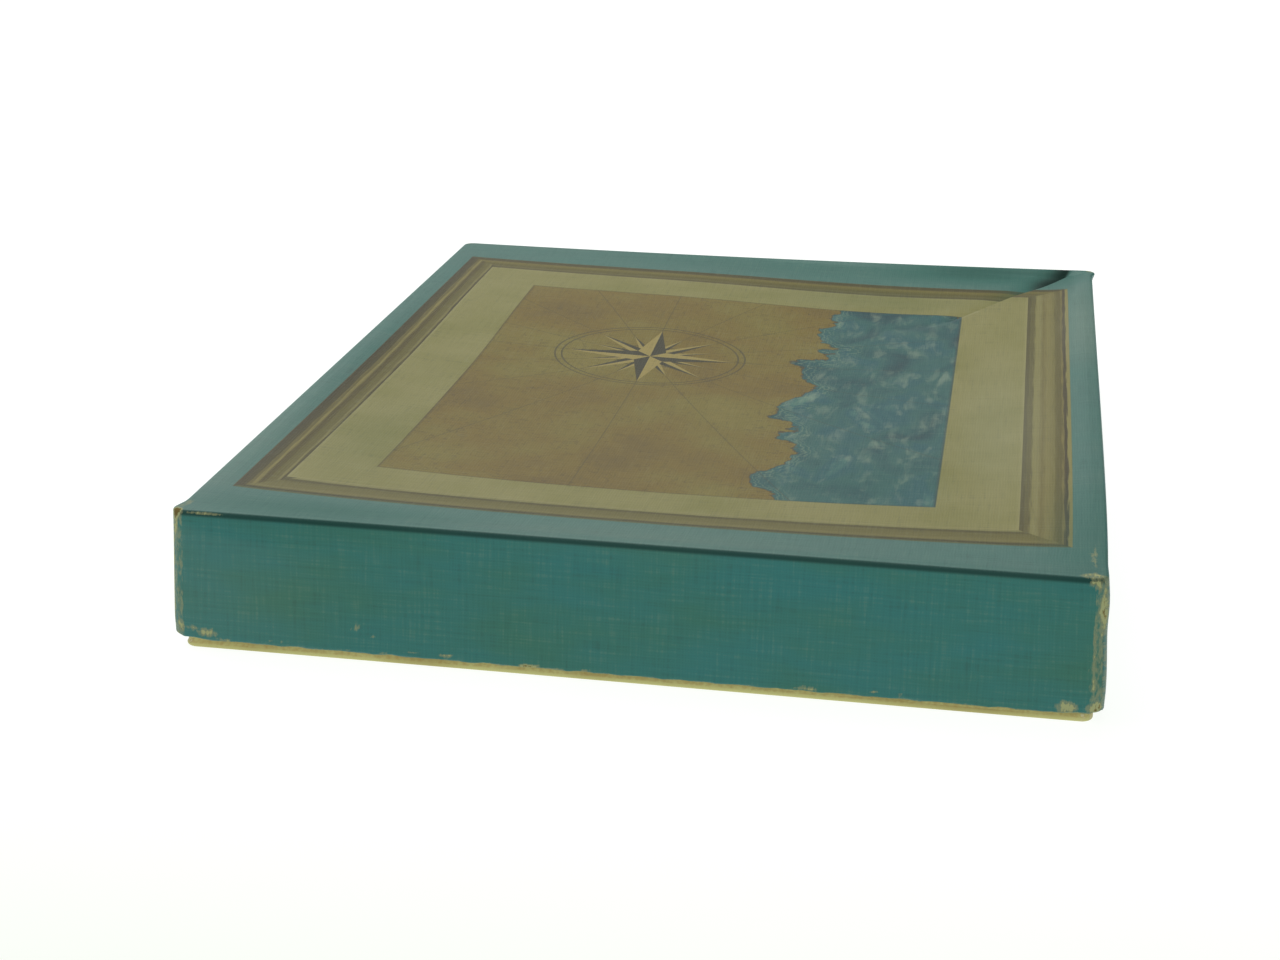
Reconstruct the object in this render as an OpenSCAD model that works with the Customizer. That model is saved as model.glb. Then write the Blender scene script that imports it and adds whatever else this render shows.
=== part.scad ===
// Boxed fleet guessing game: a telescoping set-up box of wrapped greyboard,
// with the folded card insert, plotting boards, screen, fleets and counters
// that it holds. Millimetres, +Z up. The origin is on the table, under the
// middle of the closed box; the front of the box faces -Y.

/* [Lid] */
// Outside width of the lid, left to right
lid_w = 343; // [335:1:360]
// Outside length of the lid, front to back
lid_l = 483; // [475:1:500]
// Outside height of the lid
lid_h = 50.5; // [50:0.5:60]
// Outside radius of the lid's four upright corners
lid_corner_r = 5.5; // [4:0.5:8]
// How far the wrap turns in, up the inside of the lid walls
lid_turn_in = 16; // [10:1:25]
// How far the lid's top has sunk in the middle
top_sag = 10; // [2:0.5:11]

/* [Tray] */
// Step from the outside of the lid in to the outside of the tray
tray_inset = 3; // [3:0.25:5]
// How far the tray stands out below the lower edge of the lid
tray_drop = 4.6; // [3:0.2:6]
// Outside radius of the tray's four upright corners
tray_corner_r = 4.5; // [4:0.5:6]
// How far the wrap turns in, over the rim and down the inside
tray_turn_in = 18; // [10:1:25]

/* [Board and paper] */
// Thickness of the greyboard of the lid and the tray
board_t = 2; // [1.6:0.1:2.2]
// Thickness of the glued wrapping paper
wrap_t = 0.25; // [0.2:0.05:0.3]
// Thickness of the corner stay tape
stay_t = 0.2; // [0.15:0.05:0.3]
// Length of each leg of a corner stay
stay_leg = 24; // [16:1:32]
// Thickness of the white lining paper
lining_t = 0.2; // [0.15:0.05:0.3]

/* [Insert] */
// Thickness of the insert's folded card
card_t = 1; // [0.8:0.1:1.2]
// Height of the insert's two decks above the table
deck_top = 32; // [31:0.5:33]
// Clear width of the trough between the decks
trough_w = 127; // [125:1:130]

/* [Plotting boards and screen] */
// Side of one square of the plotting grids
cell = 14.5; // [14:0.25:14.5]
// Number of squares along a grid's side
grid_n = 10; // [8:1:10]
// Margin from a grid to the edge of its board
grid_margin = 7.5; // [6:0.5:8]
// Strip between the two grids of one board
grid_gap = 12; // [10:1:14]
// Thickness of a plotting board's greyboard core
core_t = 2.2; // [1.8:0.1:2.4]
// Thickness of the dividing screen
screen_t = 1.8; // [1.4:0.1:2]
// Length of the dividing screen
screen_l = 440; // [400:5:450]
// Height of the dividing screen when it stands up
screen_w = 296; // [260:4:304]

/* [Playing pieces] */
// Beam of a ship's hull
ship_beam = 10; // [8:0.5:11]
// Height of a ship from the keel plate to the mast head
ship_h = 25; // [22:0.5:26]
// Diameter of a counter
counter_d = 13; // [11:0.5:14]
// Thickness of a counter
counter_t = 2.2; // [1.8:0.1:2.4]

/* [Hidden] */
SHIP_NAMES = ["flagship", "frigate", "corvette", "brig", "cutter"];

$fn = 48;
cut = 1;               // how far a cutting tool passes beyond the face it cuts
touch = 0.1;           // gap left between loose pieces that lie on each other

teal = [0.22, 0.42, 0.39];
pale_yellow = [0.78, 0.76, 0.52];
greyboard = [0.62, 0.58, 0.50];
kraft = [0.66, 0.54, 0.38];
white_paper = [0.93, 0.92, 0.87];
sea_blue = [0.20, 0.33, 0.48];
signal_red = [0.68, 0.16, 0.13];
buff = [0.80, 0.72, 0.52];
ivory = [0.90, 0.87, 0.78];
black_paper = [0.13, 0.14, 0.15];

wall_t = board_t + 2 * wrap_t;
lid_top = tray_drop + lid_h;
tray_w = lid_w - 2 * tray_inset;
tray_l = lid_l - 2 * tray_inset;
tray_h = lid_top - wrap_t - board_t - touch;
room_w = tray_w - 2 * wall_t;
room_l = tray_l - 2 * wall_t;
floor_top = wrap_t + board_t + lining_t;

sag_w = room_w - 4;
sag_l = room_l - 4;
sag_cells = [10, 14];

insert_gap = 1;
insert_w = room_w - 2 * insert_gap;
insert_l = room_l - 2 * insert_gap;
deck_l = (insert_l - trough_w) / 2;
deck_y = (trough_w + deck_l) / 2;
trough_floor = floor_top + card_t;

divider_x = [-56, -18, 18, 56];
divider_foot = 9;
divider_gap = 0.4;

grid_side = cell * grid_n;
plot_w = 2 * grid_side + grid_gap + 2 * grid_margin;
plot_l = grid_side + 2 * grid_margin;
plot_h = core_t + 2 * wrap_t;
cover_turn_in = 6;
screen_z = deck_top + plot_h + touch;
leaflet_z = screen_z + screen_t + touch;
leaflet_w = 216;
leaflet_l = 280;
leaf_t = 0.5;
fold_gap = 0.2;

ship_cells = [5, 4, 3, 3, 2];
ship_masts = [3, 3, 2, 2, 1];
ship_pitch = 24;
fleet_x = (divider_x[3] + card_t + insert_w / 2) / 2;
bow_gap = 3;
sail_t = 0.9;
mast_d = 1.8;

foot_l = 54;
foot_w = 26;
foot_h = 12;
slot_depth = 8;

hit_stack = 6;
miss_stack = 8;
stack_pitch = 15;
stack_x = (divider_x[2] + divider_foot + divider_x[3] - card_t / 2) / 2;

// ---- shared shapes -------------------------------------------------------

// A block with round upright corners, centred on X and Y
module block(w, l, z0, z1, r) {
    translate([0, 0, z0])
        linear_extrude(z1 - z0)
            union() {
                square([w - 2 * r, l], center = true);
                square([w, l - 2 * r], center = true);
                for (x = [-1, 1], y = [-1, 1])
                    translate([x * (w / 2 - r), y * (l / 2 - r)]) circle(r);
            }
}

// A plain block, centred on X and Y
module slab(w, l, z0, z1) {
    translate([-w / 2, -l / 2, z0]) cube([w, l, z1 - z0]);
}

// Both ends of the box: draws its children at the back and, turned, at the front
module both_ends() {
    children();
    rotate([0, 0, 180]) children();
}

// Open-bottomed box half of outside size w by l by h, from z = 0: its corner stays
module half_stays(w, l, h, r) {
    outer_w = w - 2 * wrap_t;
    outer_l = l - 2 * wrap_t;
    intersection() {
        difference() {
            block(outer_w, outer_l, 2, h - wrap_t - board_t, r - wrap_t);
            block(outer_w - 2 * stay_t, outer_l - 2 * stay_t, 0, h, r - wrap_t - stay_t);
        }
        for (x = [-1, 1], y = [-1, 1])
            translate([x * outer_w / 2, y * outer_l / 2, h / 2])
                cube([2 * stay_leg, 2 * stay_leg, h], center = true);
    }
}

// The same half: its folded greyboard, recessed where the stays lie
module half_board(w, l, h, r) {
    outer_w = w - 2 * wrap_t;
    outer_l = l - 2 * wrap_t;
    difference() {
        block(outer_w, outer_l, wrap_t, h - wrap_t, r - wrap_t);
        block(outer_w - 2 * board_t, outer_l - 2 * board_t, -cut,
              h - wrap_t - board_t, r - wrap_t - board_t);
        half_stays(w, l, h, r);
    }
}

// The same half: the paper wrap over the outside, round the rim and up the inside
module half_wrap(w, l, h, r, turn_in) {
    board_w = w - 2 * wrap_t;
    board_l = l - 2 * wrap_t;
    inner_w = board_w - 2 * board_t;
    inner_l = board_l - 2 * board_t;
    inner_r = r - wrap_t - board_t;
    difference() {
        block(w, l, 0, h, r);
        block(board_w, board_l, turn_in, h - wrap_t, r - wrap_t);
        difference() {
            block(board_w, board_l, wrap_t, turn_in + cut, r - wrap_t);
            block(inner_w, inner_l, 0, turn_in + 2 * cut, inner_r);
        }
        block(inner_w - 2 * wrap_t, inner_l - 2 * wrap_t, -cut, turn_in + cut,
              inner_r - wrap_t);
    }
}

// Stands its children, drawn as an open-bottomed half of height h, on their head
module upturned(h) {
    translate([0, 0, h]) mirror([0, 0, 1]) children();
}

// ---- lid -----------------------------------------------------------------

// How far the lid's top hangs at station i across the sagged area and j along it
function sag_at(i, j) =
    top_sag * pow(sin(180 * i / sag_cells[0]) * sin(180 * j / sag_cells[1]), 1.4);

// A sheet between two heights over the sagged area, hanging in the middle
module sagged_sheet(z0, z1) {
    nx = sag_cells[0];
    ny = sag_cells[1];
    row = nx + 1;
    layer = row * (ny + 1);
    points = [for (z = [z0, z1], j = [0 : ny], i = [0 : nx])
        [-sag_w / 2 * cos(180 * i / nx), -sag_l / 2 * cos(180 * j / ny), z - sag_at(i, j)]];
    corners = [for (j = [0 : ny - 1], i = [0 : nx - 1]) j * row + i];
    rim = concat([for (i = [0 : nx - 1]) i], [for (j = [0 : ny - 1]) j * row + nx],
                 [for (i = [nx : -1 : 1]) ny * row + i], [for (j = [ny : -1 : 1]) j * row]);
    faces = concat(
        [for (a = corners) [a, a + 1, a + row + 1]],
        [for (a = corners) [a, a + row + 1, a + row]],
        [for (a = corners) [a + row + 1, a + 1, a] + [layer, layer, layer]],
        [for (a = corners) [a + row, a + row + 1, a] + [layer, layer, layer]],
        [for (k = [0 : len(rim) - 1])
            let (a = rim[k], b = rim[(k + 1) % len(rim)]) [a + layer, b + layer, b, a]]
    );
    polyhedron(points, faces);
}

// Swaps the flat middle of a lid layer's top, between two heights, for a sagged one
module with_sagged_top(z0, z1) {
    difference() {
        translate([0, 0, tray_drop]) children();
        slab(sag_w, sag_l, z0 - cut, z1 + cut);
    }
    sagged_sheet(z0, z1);
}

module lid_wrap() {
    color(teal) with_sagged_top(lid_top - wrap_t, lid_top)
        half_wrap(lid_w, lid_l, lid_h, lid_corner_r, lid_turn_in);
}

module lid_board() {
    color(greyboard) with_sagged_top(lid_top - wrap_t - board_t, lid_top - wrap_t)
        half_board(lid_w, lid_l, lid_h, lid_corner_r);
}

module lid_corner_stays() {
    color(kraft) translate([0, 0, tray_drop])
        half_stays(lid_w, lid_l, lid_h, lid_corner_r);
}

// White paper glued to the underside of the lid's top, inside the tray's rim
module lid_lining() {
    under = lid_top - wrap_t - board_t;
    color(white_paper) sagged_sheet(under - lining_t, under);
}

// ---- tray ----------------------------------------------------------------

module tray_wrap() {
    color(pale_yellow) upturned(tray_h)
        half_wrap(tray_w, tray_l, tray_h, tray_corner_r, tray_turn_in);
}

module tray_board() {
    color(greyboard) upturned(tray_h)
        half_board(tray_w, tray_l, tray_h, tray_corner_r);
}

module tray_corner_stays() {
    color(kraft) upturned(tray_h)
        half_stays(tray_w, tray_l, tray_h, tray_corner_r);
}

module tray_lining() {
    color(white_paper) slab(room_w - 3, room_l - 3, floor_top - lining_t, floor_top);
}

// ---- insert --------------------------------------------------------------

// One folded card: outer leg, deck and trough wall at each end, one trough floor
module card_insert() {
    color(white_paper) union() {
        slab(insert_w, trough_w + 2 * card_t, floor_top, trough_floor);
        both_ends() {
            translate([0, deck_y, 0]) slab(insert_w, deck_l, deck_top - card_t, deck_top);
            translate([0, (trough_w + card_t) / 2, 0]) slab(insert_w, card_t, floor_top, deck_top);
            translate([0, (insert_l - card_t) / 2, 0]) slab(insert_w, card_t, floor_top, deck_top);
        }
    }
}

// Upright card strips with a glued foot, which part the trough into five wells
module trough_dividers() {
    length = trough_w - 2 * divider_gap;
    color(white_paper)
        for (x = divider_x)
            translate([x, -length / 2, trough_floor]) {
                translate([-card_t / 2, 0, 0]) cube([card_t, length, deck_top - trough_floor - 1]);
                translate([x < 0 ? -divider_foot : 0, 0, 0]) cube([divider_foot, length, card_t]);
            }
}

// ---- plotting boards -----------------------------------------------------

module plot_core() {
    slab(plot_w - 2 * wrap_t, plot_l - 2 * wrap_t, deck_top + wrap_t, deck_top + wrap_t + core_t);
}

// Paper over the back and the edges, turned in onto the face
module plot_cover() {
    difference() {
        slab(plot_w, plot_l, deck_top, deck_top + plot_h);
        plot_core();
        slab(plot_w - 2 * cover_turn_in, plot_l - 2 * cover_turn_in,
             deck_top + wrap_t + core_t, deck_top + plot_h + cut);
    }
}

// The printed sheet with both grids, glued inside the turn-ins
module plot_sheet() {
    slab(plot_w - 2 * cover_turn_in, plot_l - 2 * cover_turn_in,
         deck_top + wrap_t + core_t, deck_top + plot_h);
}

module blue_board_core() { color(greyboard) translate([0, deck_y, 0]) plot_core(); }
module blue_board_cover() { color(sea_blue) translate([0, deck_y, 0]) plot_cover(); }
module blue_board_sheet() { color(ivory) translate([0, deck_y, 0]) plot_sheet(); }
module red_board_core() { color(greyboard) translate([0, -deck_y, 0]) plot_core(); }
module red_board_cover() { color(signal_red) translate([0, -deck_y, 0]) plot_cover(); }
module red_board_sheet() { color(ivory) translate([0, -deck_y, 0]) plot_sheet(); }

// ---- screen, feet and leaflet --------------------------------------------

// The board that hides one fleet from the other, lying across both boards
module dividing_screen() {
    color(teal) slab(screen_w, screen_l, screen_z, screen_z + screen_t);
}

// Two slotted blocks that hold the screen upright in play
module screen_feet() {
    slot_w = screen_t + 0.3;
    color(buff)
        for (y = [-1, 1])
            translate([0, y * (foot_l / 2 + 4) - foot_l / 2, trough_floor])
                translate([0, foot_l, 0]) rotate([90, 0, 0])
                    linear_extrude(foot_l)
                        polygon([
                            [-foot_w / 2, 0], [foot_w / 2, 0], [foot_w / 2, 3],
                            [slot_w / 2 + 3, foot_h], [slot_w / 2, foot_h],
                            [slot_w / 2, foot_h - slot_depth], [-slot_w / 2, foot_h - slot_depth],
                            [-slot_w / 2, foot_h], [-slot_w / 2 - 3, foot_h], [-foot_w / 2, 3]
                        ]);
}

// The rules: one sheet folded once, its fold to the left
module rules_leaflet() {
    fold_r = leaf_t + fold_gap / 2;
    flat_w = leaflet_w - fold_r;
    color(ivory)
        translate([-leaflet_w / 2 + fold_r, leaflet_l / 2, leaflet_z + fold_r])
            rotate([90, 0, 0])
                linear_extrude(leaflet_l)
                    union() {
                        difference() {
                            circle(fold_r);
                            circle(fold_gap / 2);
                            translate([0, -fold_r]) square([fold_r, 2 * fold_r]);
                        }
                        translate([0, fold_gap / 2]) square([flat_w, leaf_t]);
                        translate([0, -fold_r]) square([flat_w, leaf_t]);
                    }
}

// ---- counters ------------------------------------------------------------

// One counter, with a raised rim on its upper face
module counter() {
    r = counter_d / 2;
    rotate_extrude()
        polygon([
            [0, 0], [r - 0.4, 0], [r, 0.4], [r, counter_t - 0.4], [r - 0.4, counter_t],
            [r - 1.2, counter_t], [r - 1.6, counter_t - 0.5], [0, counter_t - 0.5]
        ]);
}

// Stacks of counters in two files along Y, count high, in the well at x
module stacks(x, rows, count) {
    for (file = [-0.5, 0.5], row = [0 : rows - 1], level = [0 : count - 1])
        translate([x + file * (counter_d + 0.6), (row - (rows - 1) / 2) * stack_pitch,
                   trough_floor + touch + level * (counter_t + touch)])
            counter();
}

module hit_counters() { color(signal_red) stacks(-stack_x, 3, hit_stack); }
module miss_counters() { color(ivory) stacks(stack_x, 5, miss_stack); }

// ---- ships ---------------------------------------------------------------

// Half the beam of a hull of length 1, at t from the transom
function half_beam(t) =
    t < 0.3 ? 0.36 + 0.14 * sin(300 * t)
    : t < 0.6 ? 0.5
    : 0.5 * pow(max(cos(225 * (t - 0.6)), 0), 0.7);

// A hull's plan: the transom at x = 0, the stem at x = len
module hull_plan(len, beam) {
    steps = 16;
    side = [for (i = [0 : steps - 1]) [len * i / steps, beam * half_beam(i / steps)]];
    mirrored = [for (i = [steps - 1 : -1 : 0]) [side[i][0], -side[i][1]]];
    polygon(concat(side, [[len, 0]], mirrored));
}

// A square sail that bellies forward from the mast at the origin
module sail(width, height) {
    belly_r = width * 0.9;
    half_angle = asin(width / 2 / belly_r);
    translate([mast_d / 4 - belly_r, 0, 0])
        rotate([0, 0, -half_angle])
            rotate_extrude(angle = 2 * half_angle)
                translate([belly_r, 0]) square([sail_t, height]);
}

// A moulded ship of the given number of squares and masts, bow towards +X
module ship(cells, masts) {
    len = cells * cell - bow_gap;
    deck = 7;
    rig = ship_h - deck;
    translate([-len / 2, 0, 0]) {
        linear_extrude(3) hull_plan(len * 0.97, ship_beam * 0.78);
        translate([0, 0, 3]) linear_extrude(deck - 3) hull_plan(len, ship_beam);
        intersection() {
            translate([0, 0, deck]) linear_extrude(2.4) hull_plan(len, ship_beam);
            translate([0, -ship_beam / 2, deck]) cube([len * 0.26, ship_beam, 2.4]);
        }
        for (i = [0 : masts - 1]) {
            tall = (i == floor(masts / 2)) ? 1 : 0.86;
            sail_w = ship_beam * (masts == 1 ? 1.2 : 1.1);
            translate([len * (masts == 1 ? 0.5 : 0.16 + 0.56 * i / (masts - 1)), 0, 0]) {
                translate([0, 0, deck - 1]) cylinder(d = mast_d, h = rig * tall + 1);
                translate([0, 0, deck + 3.4]) sail(sail_w, rig * 0.36 * tall);
                translate([0, 0, deck + 4.6 + rig * 0.36 * tall]) sail(sail_w * 0.78, rig * 0.28 * tall);
            }
        }
        translate([len * 0.9, 0, deck - 1.2]) rotate([0, 68, 0]) cylinder(d = 1.5, h = bow_gap + 3);
    }
}

// Ship number i of a fleet, whose well is on the given side of the box
module moored(i, side) {
    translate([side * fleet_x, (2 - i) * ship_pitch, trough_floor]) ship(ship_cells[i], ship_masts[i]);
}

module blue_ship(i) { color(sea_blue) moored(i, -1); }
module red_ship(i) { color(signal_red) moored(i, 1); }

// ---- the set -------------------------------------------------------------

lid_wrap();
lid_board();
lid_corner_stays();
lid_lining();
tray_wrap();
tray_board();
tray_corner_stays();
tray_lining();
card_insert();
trough_dividers();
blue_board_core();
blue_board_cover();
blue_board_sheet();
red_board_core();
red_board_cover();
red_board_sheet();
dividing_screen();
screen_feet();
rules_leaflet();
hit_counters();
miss_counters();
for (i = [0 : len(SHIP_NAMES) - 1]) {
    blue_ship(i);
    red_ship(i);
}
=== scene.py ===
"""Looks of a boxed fleet guessing game, built round its CAD frame.

The set is an old telescoping box: greyboard folded into a lid and a tray, papers
glued over both, a printed picture frame with a sea chart on the lid, and the
folded card, plotting boards, screen, fleets and counters inside. Sizes are
millimetres in the CAD frame; a mesh turns to metres only when it is stored.
"""

import logging
import math
from collections.abc import Mapping, Sequence
from dataclasses import dataclass, field
from enum import Enum

import bpy
import numpy as np
from mathutils import Matrix, Vector


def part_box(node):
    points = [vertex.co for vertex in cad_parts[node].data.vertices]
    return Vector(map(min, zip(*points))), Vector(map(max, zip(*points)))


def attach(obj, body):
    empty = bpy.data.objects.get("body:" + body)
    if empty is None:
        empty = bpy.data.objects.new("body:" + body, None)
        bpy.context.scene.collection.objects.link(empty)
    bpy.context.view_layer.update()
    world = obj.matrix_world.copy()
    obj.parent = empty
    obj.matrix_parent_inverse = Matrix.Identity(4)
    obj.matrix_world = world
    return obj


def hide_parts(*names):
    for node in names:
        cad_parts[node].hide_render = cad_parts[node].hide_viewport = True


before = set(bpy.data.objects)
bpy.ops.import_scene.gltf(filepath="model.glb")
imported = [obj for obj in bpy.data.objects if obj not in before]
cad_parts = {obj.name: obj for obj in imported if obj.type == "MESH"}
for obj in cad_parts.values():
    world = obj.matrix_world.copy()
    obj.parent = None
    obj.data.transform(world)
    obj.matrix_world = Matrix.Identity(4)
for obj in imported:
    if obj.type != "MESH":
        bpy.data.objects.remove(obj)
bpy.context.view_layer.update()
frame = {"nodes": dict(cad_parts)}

LOG = logging.getLogger("fleet_game")
MM = 0.001
SHEET_MAP = "sheet"        # UV map: the place of each point on the unfolded paper, in metres
WEAR = "wear"              # vertex attribute: how worn the paper is, 0 to 1
TONE = "tone"              # vertex attribute: paler up to 1, darker down to -1; partly bleaching and soiling, partly painted sheen and painted shade
SHARP_ANGLE = math.radians(38)
LID_FRONT = -241.5         # where the lid's front wall stands, in millimetres

Tree = bpy.types.NodeTree
Colour = tuple[float, float, float, float]
Profile = list[tuple[float, float]]
Stops = tuple[tuple[float, str], ...]


# ---- node trees ------------------------------------------------------------


def linear(hex_colour: str) -> Colour:
    """Turns an sRGB hex colour into linear RGBA.

    Args:
        hex_colour: Six hex digits after a '#'.

    Returns:
        Linear red, green, blue and an alpha of 1.
    """
    shares = [int(hex_colour[i : i + 2], 16) / 255 for i in (1, 3, 5)]
    curve = [s / 12.92 if s <= 0.04045 else ((s + 0.055) / 1.055) ** 2.4 for s in shares]
    return (curve[0], curve[1], curve[2], 1.0)


@dataclass(frozen=True)
class Signal:
    """A value on its way through a node tree: arithmetic on it adds maths nodes.

    Attributes:
        tree: The node tree that carries it.
        socket: The output socket that gives it.
    """

    tree: Tree
    socket: bpy.types.NodeSocket

    def math(self, operation: str, *others: "Signal | float") -> "Signal":
        """Passes this value, and any others, through one maths node."""
        links = dict(enumerate((self, *others)))
        return add(self.tree, "ShaderNodeMath", links, operation=operation)

    def __add__(self, other: "Signal | float") -> "Signal":
        """Adds."""
        return self.math("ADD", other)

    def __sub__(self, other: "Signal | float") -> "Signal":
        """Subtracts."""
        return self.math("SUBTRACT", other)

    def __mul__(self, other: "Signal | float") -> "Signal":
        """Multiplies."""
        return self.math("MULTIPLY", other)

    def __abs__(self) -> "Signal":
        """Drops the sign."""
        return self.math("ABSOLUTE")

    def least(self, other: "Signal | float") -> "Signal":
        """Gives the smaller of the two."""
        return self.math("MINIMUM", other)

    def most(self, other: "Signal | float") -> "Signal":
        """Gives the larger of the two."""
        return self.math("MAXIMUM", other)

    def also(self, output: int | str) -> "Signal":
        """Gives another output of the node that this value comes from."""
        return Signal(self.tree, self.socket.node.outputs[output])

    def rise(self, low: float, high: float) -> "Signal":
        """Eases from 0 to 1 while the value goes from low to high, or back where high is the lower."""
        links = {"Value": self, "From Min": low, "From Max": high}
        return add(self.tree, "ShaderNodeMapRange", links, "Result", interpolation_type="SMOOTHSTEP")

    def line(self, centre: "Signal | float", half: float, soft: float) -> "Signal":
        """Is 1 within half of the centre and 0 past half + soft."""
        return abs(self - centre).rise(half + soft, half)

    def repeat(self, period: float) -> "Signal":
        """Folds the value into a triangle wave: 0 at each multiple of the period, half of it between."""
        return self.math("PINGPONG", period / 2)

    def over(self, under: "Signal | str", top: "Signal | str") -> "Signal":
        """Lays one colour over another, as strongly as this value says; a plain one is in hex."""
        lower, upper = (linear(c) if isinstance(c, str) else c for c in (under, top))
        return add(self.tree, "ShaderNodeMix", {0: self, 6: lower, 7: upper}, 2, data_type="RGBA")


def add(
    tree: Tree,
    kind: str,
    links: Mapping[int | str, object] | None = None,
    output: int | str = 0,
    stops: Stops = (),
    **settings: object,
) -> Signal:
    """Adds one node with its settings and links.

    Args:
        tree: The tree that gets the node.
        kind: The node's type name.
        links: What goes into each input: a Signal, or a plain value.
        output: Which output to return.
        stops: For a colour ramp, its places from 0 to 1 and their hex colours.
        settings: Properties of the node.

    Returns:
        The chosen output.
    """
    node = tree.nodes.new(kind)
    for name, value in settings.items():
        setattr(node, name, value)
    for key, value in (links or {}).items():
        if isinstance(value, Signal):
            tree.links.new(value.socket, node.inputs[key])
        else:
            node.inputs[key].default_value = value
    for count, (place, colour) in enumerate(stops):
        ramp = node.color_ramp.elements
        stop = ramp[count] if count < len(ramp) else ramp.new(place)
        stop.position = place
        stop.color = linear(colour)
    if len(node.outputs) == 0:
        return Signal(tree, None)
    return Signal(tree, node.outputs[output])


def in_mm(tree: Tree, source: Signal) -> Signal:
    """Turns coordinates in metres into millimetres, so that patterns take real sizes."""
    links = {0: source, 1: (1 / MM, 1 / MM, 1 / MM)}
    return add(tree, "ShaderNodeVectorMath", links, operation="MULTIPLY")


def on_piece(tree: Tree) -> Signal:
    """Gives the place of each point in the piece's own frame, in millimetres."""
    return in_mm(tree, add(tree, "ShaderNodeTexCoord", output="Object"))


def on_sheet(tree: Tree) -> Signal:
    """Gives the place of each point on the unfolded paper, in millimetres."""
    return in_mm(tree, add(tree, "ShaderNodeUVMap", uv_map=SHEET_MAP))


@dataclass(frozen=True)
class Spot:
    """Where a point of a pattern lies, in millimetres.

    Attributes:
        place: All its coordinates.
        x: The first of them.
        y: The second.
    """

    place: Signal
    x: Signal
    y: Signal

    @classmethod
    def of(cls, place: Signal) -> "Spot":
        """Splits coordinates into their parts."""
        x = add(place.tree, "ShaderNodeSeparateXYZ", {0: place})
        return cls(place, x, x.also("Y"))


def texture(
    place: Signal,
    kind: str,
    size: float | tuple[float, float, float],
    inputs: Mapping[str, float] | None = None,
    **settings: object,
) -> Signal:
    """Adds any of Blender's textures at a real size.

    Args:
        place: Coordinates in millimetres.
        kind: The end of the node's type name: Noise, Voronoi or Wave.
        size: Size of its features in millimetres: one number, or one per axis.
        inputs: Its other inputs, by name.
        settings: Properties of the node.

    Returns:
        The texture's first output.
    """
    if isinstance(size, tuple):
        links = {0: place, 1: size}
        place = add(place.tree, "ShaderNodeVectorMath", links, operation="DIVIDE")
        size = 1.0
    links = {"Vector": place, "Scale": 1 / size, **(inputs or {})}
    return add(place.tree, f"ShaderNodeTex{kind}", links, **settings)


# ---- finishes --------------------------------------------------------------


@dataclass(frozen=True)
class Coat:
    """What a finish draws.

    Attributes:
        colour: Its base colour.
        roughness: Its roughness.
        height: Its relief in millimetres.
    """

    colour: Signal
    roughness: Signal | float
    height: Signal | float


@dataclass(frozen=True)
class Finish:
    """What every finish has.

    Attributes:
        name: The material's name.
        ior: Index of refraction of the surface.
        roughness: Typical roughness.
        glow: Light that the surface gives off by itself.
    """

    name: str
    ior: float = 1.45
    roughness: float = 0.6
    glow: float = 0.0

    def paint(self, tree: Tree) -> Coat:
        """Draws the finish; each kind of finish has its own."""
        raise NotImplementedError

    def material(self) -> bpy.types.Material:
        """Builds the material: the painted coat on one principled shader.

        Returns:
            The finished material.
        """
        made = bpy.data.materials.new(self.name)
        made.use_nodes = True
        tree = made.node_tree
        tree.nodes.clear()
        coat = self.paint(tree)
        relief = add(tree, "ShaderNodeBump", {"Height": coat.height, "Distance": MM})
        links = {
            "Base Color": coat.colour,
            "Roughness": coat.roughness,
            "IOR": self.ior,
            "Normal": relief,
            "Emission Color": coat.colour,
            "Emission Strength": self.glow,
        }
        shader = add(tree, "ShaderNodeBsdfPrincipled", links)
        add(tree, "ShaderNodeOutputMaterial", {"Surface": shader})
        return made


@dataclass(frozen=True)
class PrintRect:
    """A rectangle of a printed sheet, in millimetres."""

    left: float
    right: float
    front: float
    back: float

    def margins(self, spot: Spot) -> tuple[Signal, Signal]:
        """Gives how far inside the side edges and the end edges a point is.

        Args:
            spot: Place on the sheet.

        Returns:
            Both distances in millimetres, below 0 outside.
        """
        across = abs(spot.x - (self.left + self.right) / 2) * -1 + (self.right - self.left) / 2
        along = abs(spot.y - (self.front + self.back) / 2) * -1 + (self.back - self.front) / 2
        return across, along

    def depth(self, spot: Spot) -> Signal:
        """Gives how far inside the nearest edge a point is."""
        across, along = self.margins(spot)
        return across.least(along)

    def inside(self, spot: Spot, soft: float = 0.15) -> Signal:
        """Is 1 inside the rectangle and 0 outside, over a soft edge."""
        return self.depth(spot).rise(-soft, soft)


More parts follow.
